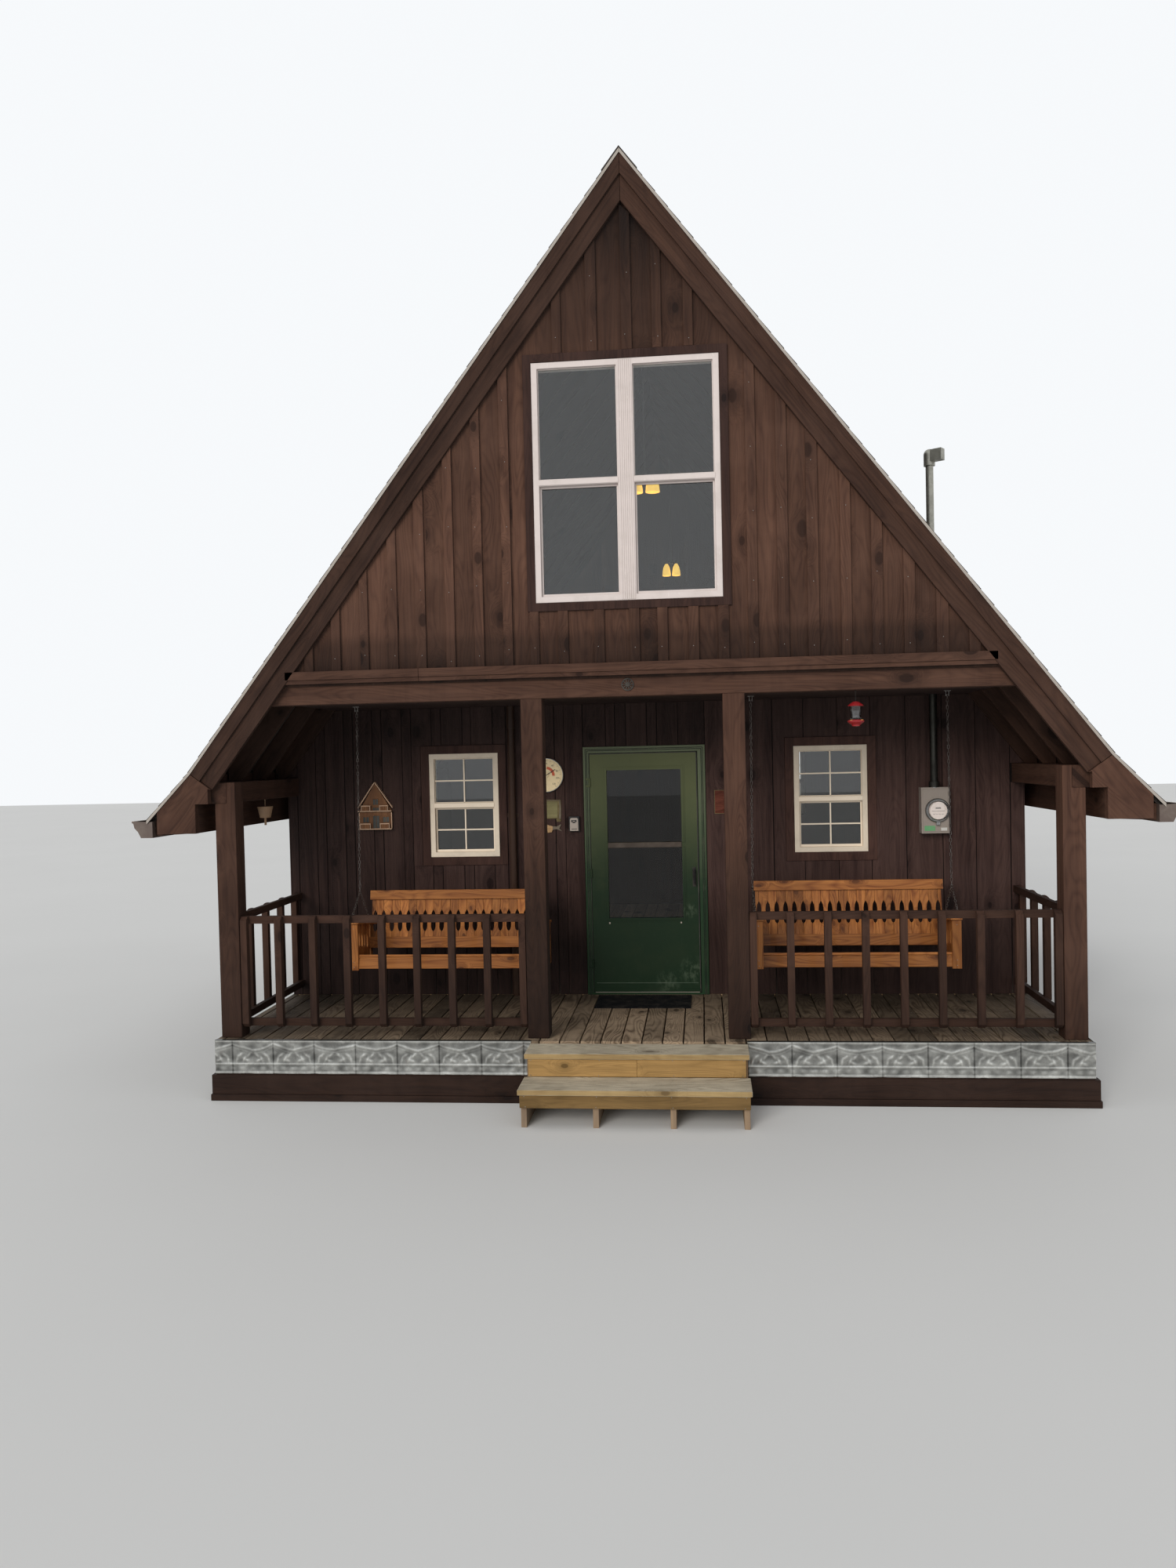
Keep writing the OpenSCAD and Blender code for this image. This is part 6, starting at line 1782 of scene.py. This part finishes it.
    def execute(self, context):
        self.ornament()
        self.feeder()
        self.key_box()
        plaque = (0.578, 0.700, 1.4787, 1.4859, 1.498, 1.693, 2.0)
        plates("plaque_board", "plaque_red", [plaque], slot="sign_boards", edge=0.003, steps=2)
        sign_x, sign_y = -0.764, 1.4807
        for name, material, thick, z, number, edge, points in (
                ("sign_panel", "sign_pale", 0.002, 1.458, 4.0, 0.0006, [
                    (-0.062, 0.030), (0.034, 0.030), (0.036, 0.166), (-0.062, 0.168)]),
                ("sign_edge", "fish_grey", 0.002, 1.458, 4.0, 0.0006, [
                    (0.046, 0.020), (0.062, 0.020), (0.063, 0.112), (0.059, 0.176), (-0.064, 0.180),
                    (-0.064, 0.173), (0.050, 0.170), (0.053, 0.112)]),
                ("fish_body", "fish_tan", 0.004, 1.400, 1.0, 0.001, [
                    (-0.057, 0.030), (-0.009, 0.016), (-0.010, -0.014), (-0.018, -0.033), (-0.053, -0.038)]),
                ("fish_tail", "fish_grey", 0.004, 1.400, 1.0, 0.001, [
                    (-0.0088, 0.016), (0.025, 0.014), (0.065, 0.034), (0.047, -0.002), (0.069, -0.027),
                    (0.024, -0.009), (-0.0098, -0.014)])):
            bm = fresh()
            outline(bm, points, thick, number, (sign_x, sign_y - thick - 0.0002, z))
            finish_piece(name, bm, material, slot="sign_boards", edge=edge)
        return {"FINISHED"}


class CABIN_OT_lamps(CabinPart, bpy.types.Operator):
    """Lit bells, arms and stems of the two lamps under the ridge"""
    bl_idname = "cabin.lamps"
    bl_label = "Loft lamps"

    def execute(self, context):
        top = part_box("loft_lamps")[1].z - SHIFT.z
        bells, arms = fresh(), fresh()
        bell = [(0.018, 0.100), (0.026, 0.092), (0.048, 0.058), (0.060, 0.010), (0.066, -0.046),
                (0.063, -0.047), (0.057, 0.008), (0.045, 0.054), (0.018, 0.084), (0.018, 0.100)]
        cap = [(0.0, 0.0), (0.020, 0.0), (0.020, 0.014), (0.012, 0.024), (0.0, 0.026)]
        hub = [(0.0, 0.0), (0.020, 0.003), (0.024, 0.020), (0.020, 0.037), (0.0, 0.040)]
        for y, stem, middles, z, slim in ((2.4447, 0.016, (-0.069, 0.084), 4.427, 1.0),
                                          (6.3257, 0.145, (0.085, 0.205), 4.274, 0.80)):
            for x in middles:
                lathe(bells, (x, y, z), [(r * slim, v) for r, v in bell], 28)
                ball(bells, (x, y, z + 0.010), 0.028 * slim)
                lathe(arms, (x, y, z + 0.100), cap, 20)
            rod(arms, (middles[0], y, z + 0.112), (middles[1], y, z + 0.112), 0.008)
            lathe(arms, (stem, y, z + 0.100), hub, 24)
            rod(arms, (stem, y, z + 0.139), (stem, y, top - math.tan(MAIN_SLOPE) * (stem - 0.016)), 0.007)
        finish_piece("lamp_bells", bells, "lamp_amber", slot="lamps", hides=("loft_lamps",), smooth=40)
        finish_piece("lamp_arms", arms, "bar_bronze", slot="lamps", hides=("loft_lamps",), smooth=40)
        return {"FINISHED"}


# The studio

CAMERA_PLACE = (0.48946, -11.27162, 2.43592)
CAMERA_YAW, CAMERA_PITCH, CAMERA_ROLL = 0.101718, -0.024528, -0.022569
FOCAL_LENGTH = 34.605
SUN_FROM = (-0.35, -1.0, 0.40)
SKY_COLOUR = (0.93, 0.95, 0.97, 1)
SKY_LIGHT, SKY_SEEN = 0.54, 1.0


class CABIN_OT_studio(CabinPart, bpy.types.Operator):
    """Pale floor, soft daylight and the camera of the photograph"""
    bl_idname = "cabin.studio"
    bl_label = "Studio"

    def floor(self, scene):
        tree, skin = shader("pale_floor", Roughness=0.9, Specular_IOR_Level=0.1)
        mist = noise(tree, coordinates(tree), 0.35)
        tint = blend(tree, mist, (0.80, 0.80, 0.79, 1), (0.84, 0.84, 0.83, 1))
        tree.links.new(tint, skin.inputs["Base Color"])
        bm = bmesh.new()
        bmesh.ops.create_grid(bm, x_segments=2, y_segments=2, size=60.0)
        mesh = bpy.data.meshes.new("studio_floor")
        bm.to_mesh(mesh)
        bm.free()
        floor = bpy.data.objects.new("studio_floor", mesh)
        scene.collection.objects.link(floor)
        mesh.materials.append(MATERIALS["pale_floor"])

    def daylight(self, scene):
        world = bpy.data.worlds.new("studio_sky")
        scene.world = world
        world.use_nodes = True
        tree = world.node_tree
        sky = tree.nodes["Background"]
        sky.inputs["Color"].default_value = SKY_COLOUR
        rays = put(tree, "ShaderNodeLightPath").outputs
        mirrors = maths(tree, "MAXIMUM", rays["Is Glossy Ray"], rays["Is Transmission Ray"])
        seen = maths(tree, "MAXIMUM", rays["Is Camera Ray"], mirrors)
        tree.links.new(ramp(tree, seen, 0.0, 1.0, SKY_LIGHT, SKY_SEEN), sky.inputs["Strength"])
        lamp = bpy.data.lights.new("soft_sun", "SUN")
        lamp.energy = 1.8
        lamp.angle = math.radians(28)
        lamp.color = (1.0, 0.97, 0.93)
        sun = bpy.data.objects.new("soft_sun", lamp)
        sun.rotation_euler = Vector(SUN_FROM).to_track_quat("Z", "Y").to_euler()
        sun.visible_glossy = False
        sun.visible_transmission = False
        scene.collection.objects.link(sun)

    def camera(self, scene):
        yaw, pitch, roll = CAMERA_YAW, CAMERA_PITCH, CAMERA_ROLL
        fwd = Vector((-math.sin(yaw) * math.cos(pitch), math.cos(yaw) * math.cos(pitch), math.sin(pitch)))
        right = Vector((math.cos(yaw), math.sin(yaw), 0))
        up = right.cross(fwd)
        across = right * math.cos(roll) + up * math.sin(roll)
        above = up * math.cos(roll) - right * math.sin(roll)
        lens = bpy.data.cameras.new("photo_camera")
        lens.sensor_fit = "HORIZONTAL"
        lens.sensor_width = 36.0
        lens.lens = FOCAL_LENGTH
        lens.clip_end = 300.0
        camera = bpy.data.objects.new("photo_camera", lens)
        turn = Matrix((across, above, -fwd)).transposed().to_4x4()
        camera.matrix_world = Matrix.Translation(CAMERA_PLACE) @ turn
        scene.collection.objects.link(camera)
        scene.camera = camera

    def execute(self, context):
        scene = context.scene
        scene.view_settings.view_transform = "Standard"
        self.floor(scene)
        self.daylight(scene)
        self.camera(scene)
        return {"FINISHED"}


class CABIN_PT_panel(bpy.types.Panel):
    """Lists the steps that dress the cabin"""
    bl_idname = "CABIN_PT_panel"
    bl_label = "Cabin"
    bl_space_type = "VIEW_3D"
    bl_region_type = "UI"
    bl_category = "Cabin"

    def draw(self, context):
        layout = self.layout
        for group_name in ("cabin_sizes", "cabin_colours"):
            settings = getattr(context.scene, group_name)
            box = layout.box()
            for name in settings.__annotations__:
                box.prop(settings, name)
        for operator in OPERATORS:
            layout.operator(operator.bl_idname)


OPERATORS = (
    CABIN_OT_finishes, CABIN_OT_timbers, CABIN_OT_band, CABIN_OT_battens, CABIN_OT_wall_boards,
    CABIN_OT_deck, CABIN_OT_steps, CABIN_OT_railings, CABIN_OT_shingles, CABIN_OT_gutters, CABIN_OT_windows,
    CABIN_OT_door, CABIN_OT_swings, CABIN_OT_chains, CABIN_OT_tin, CABIN_OT_meter, CABIN_OT_thermometer,
    CABIN_OT_wall_things, CABIN_OT_lamps, CABIN_OT_studio,
)
CLASSES = (CabinSizes, CabinColours) + OPERATORS + (CABIN_PT_panel,)


def register():
    for item in CLASSES:
        bpy.utils.register_class(item)
    bpy.types.Scene.cabin_sizes = PointerProperty(type=CabinSizes)
    bpy.types.Scene.cabin_colours = PointerProperty(type=CabinColours)


def unregister():
    del bpy.types.Scene.cabin_colours
    del bpy.types.Scene.cabin_sizes
    for item in reversed(CLASSES):
        bpy.utils.unregister_class(item)


def main():
    register()
    for operator in OPERATORS:
        family, name = operator.bl_idname.split(".")
        getattr(getattr(bpy.ops, family), name)()


if __name__ == "__main__":
    main()
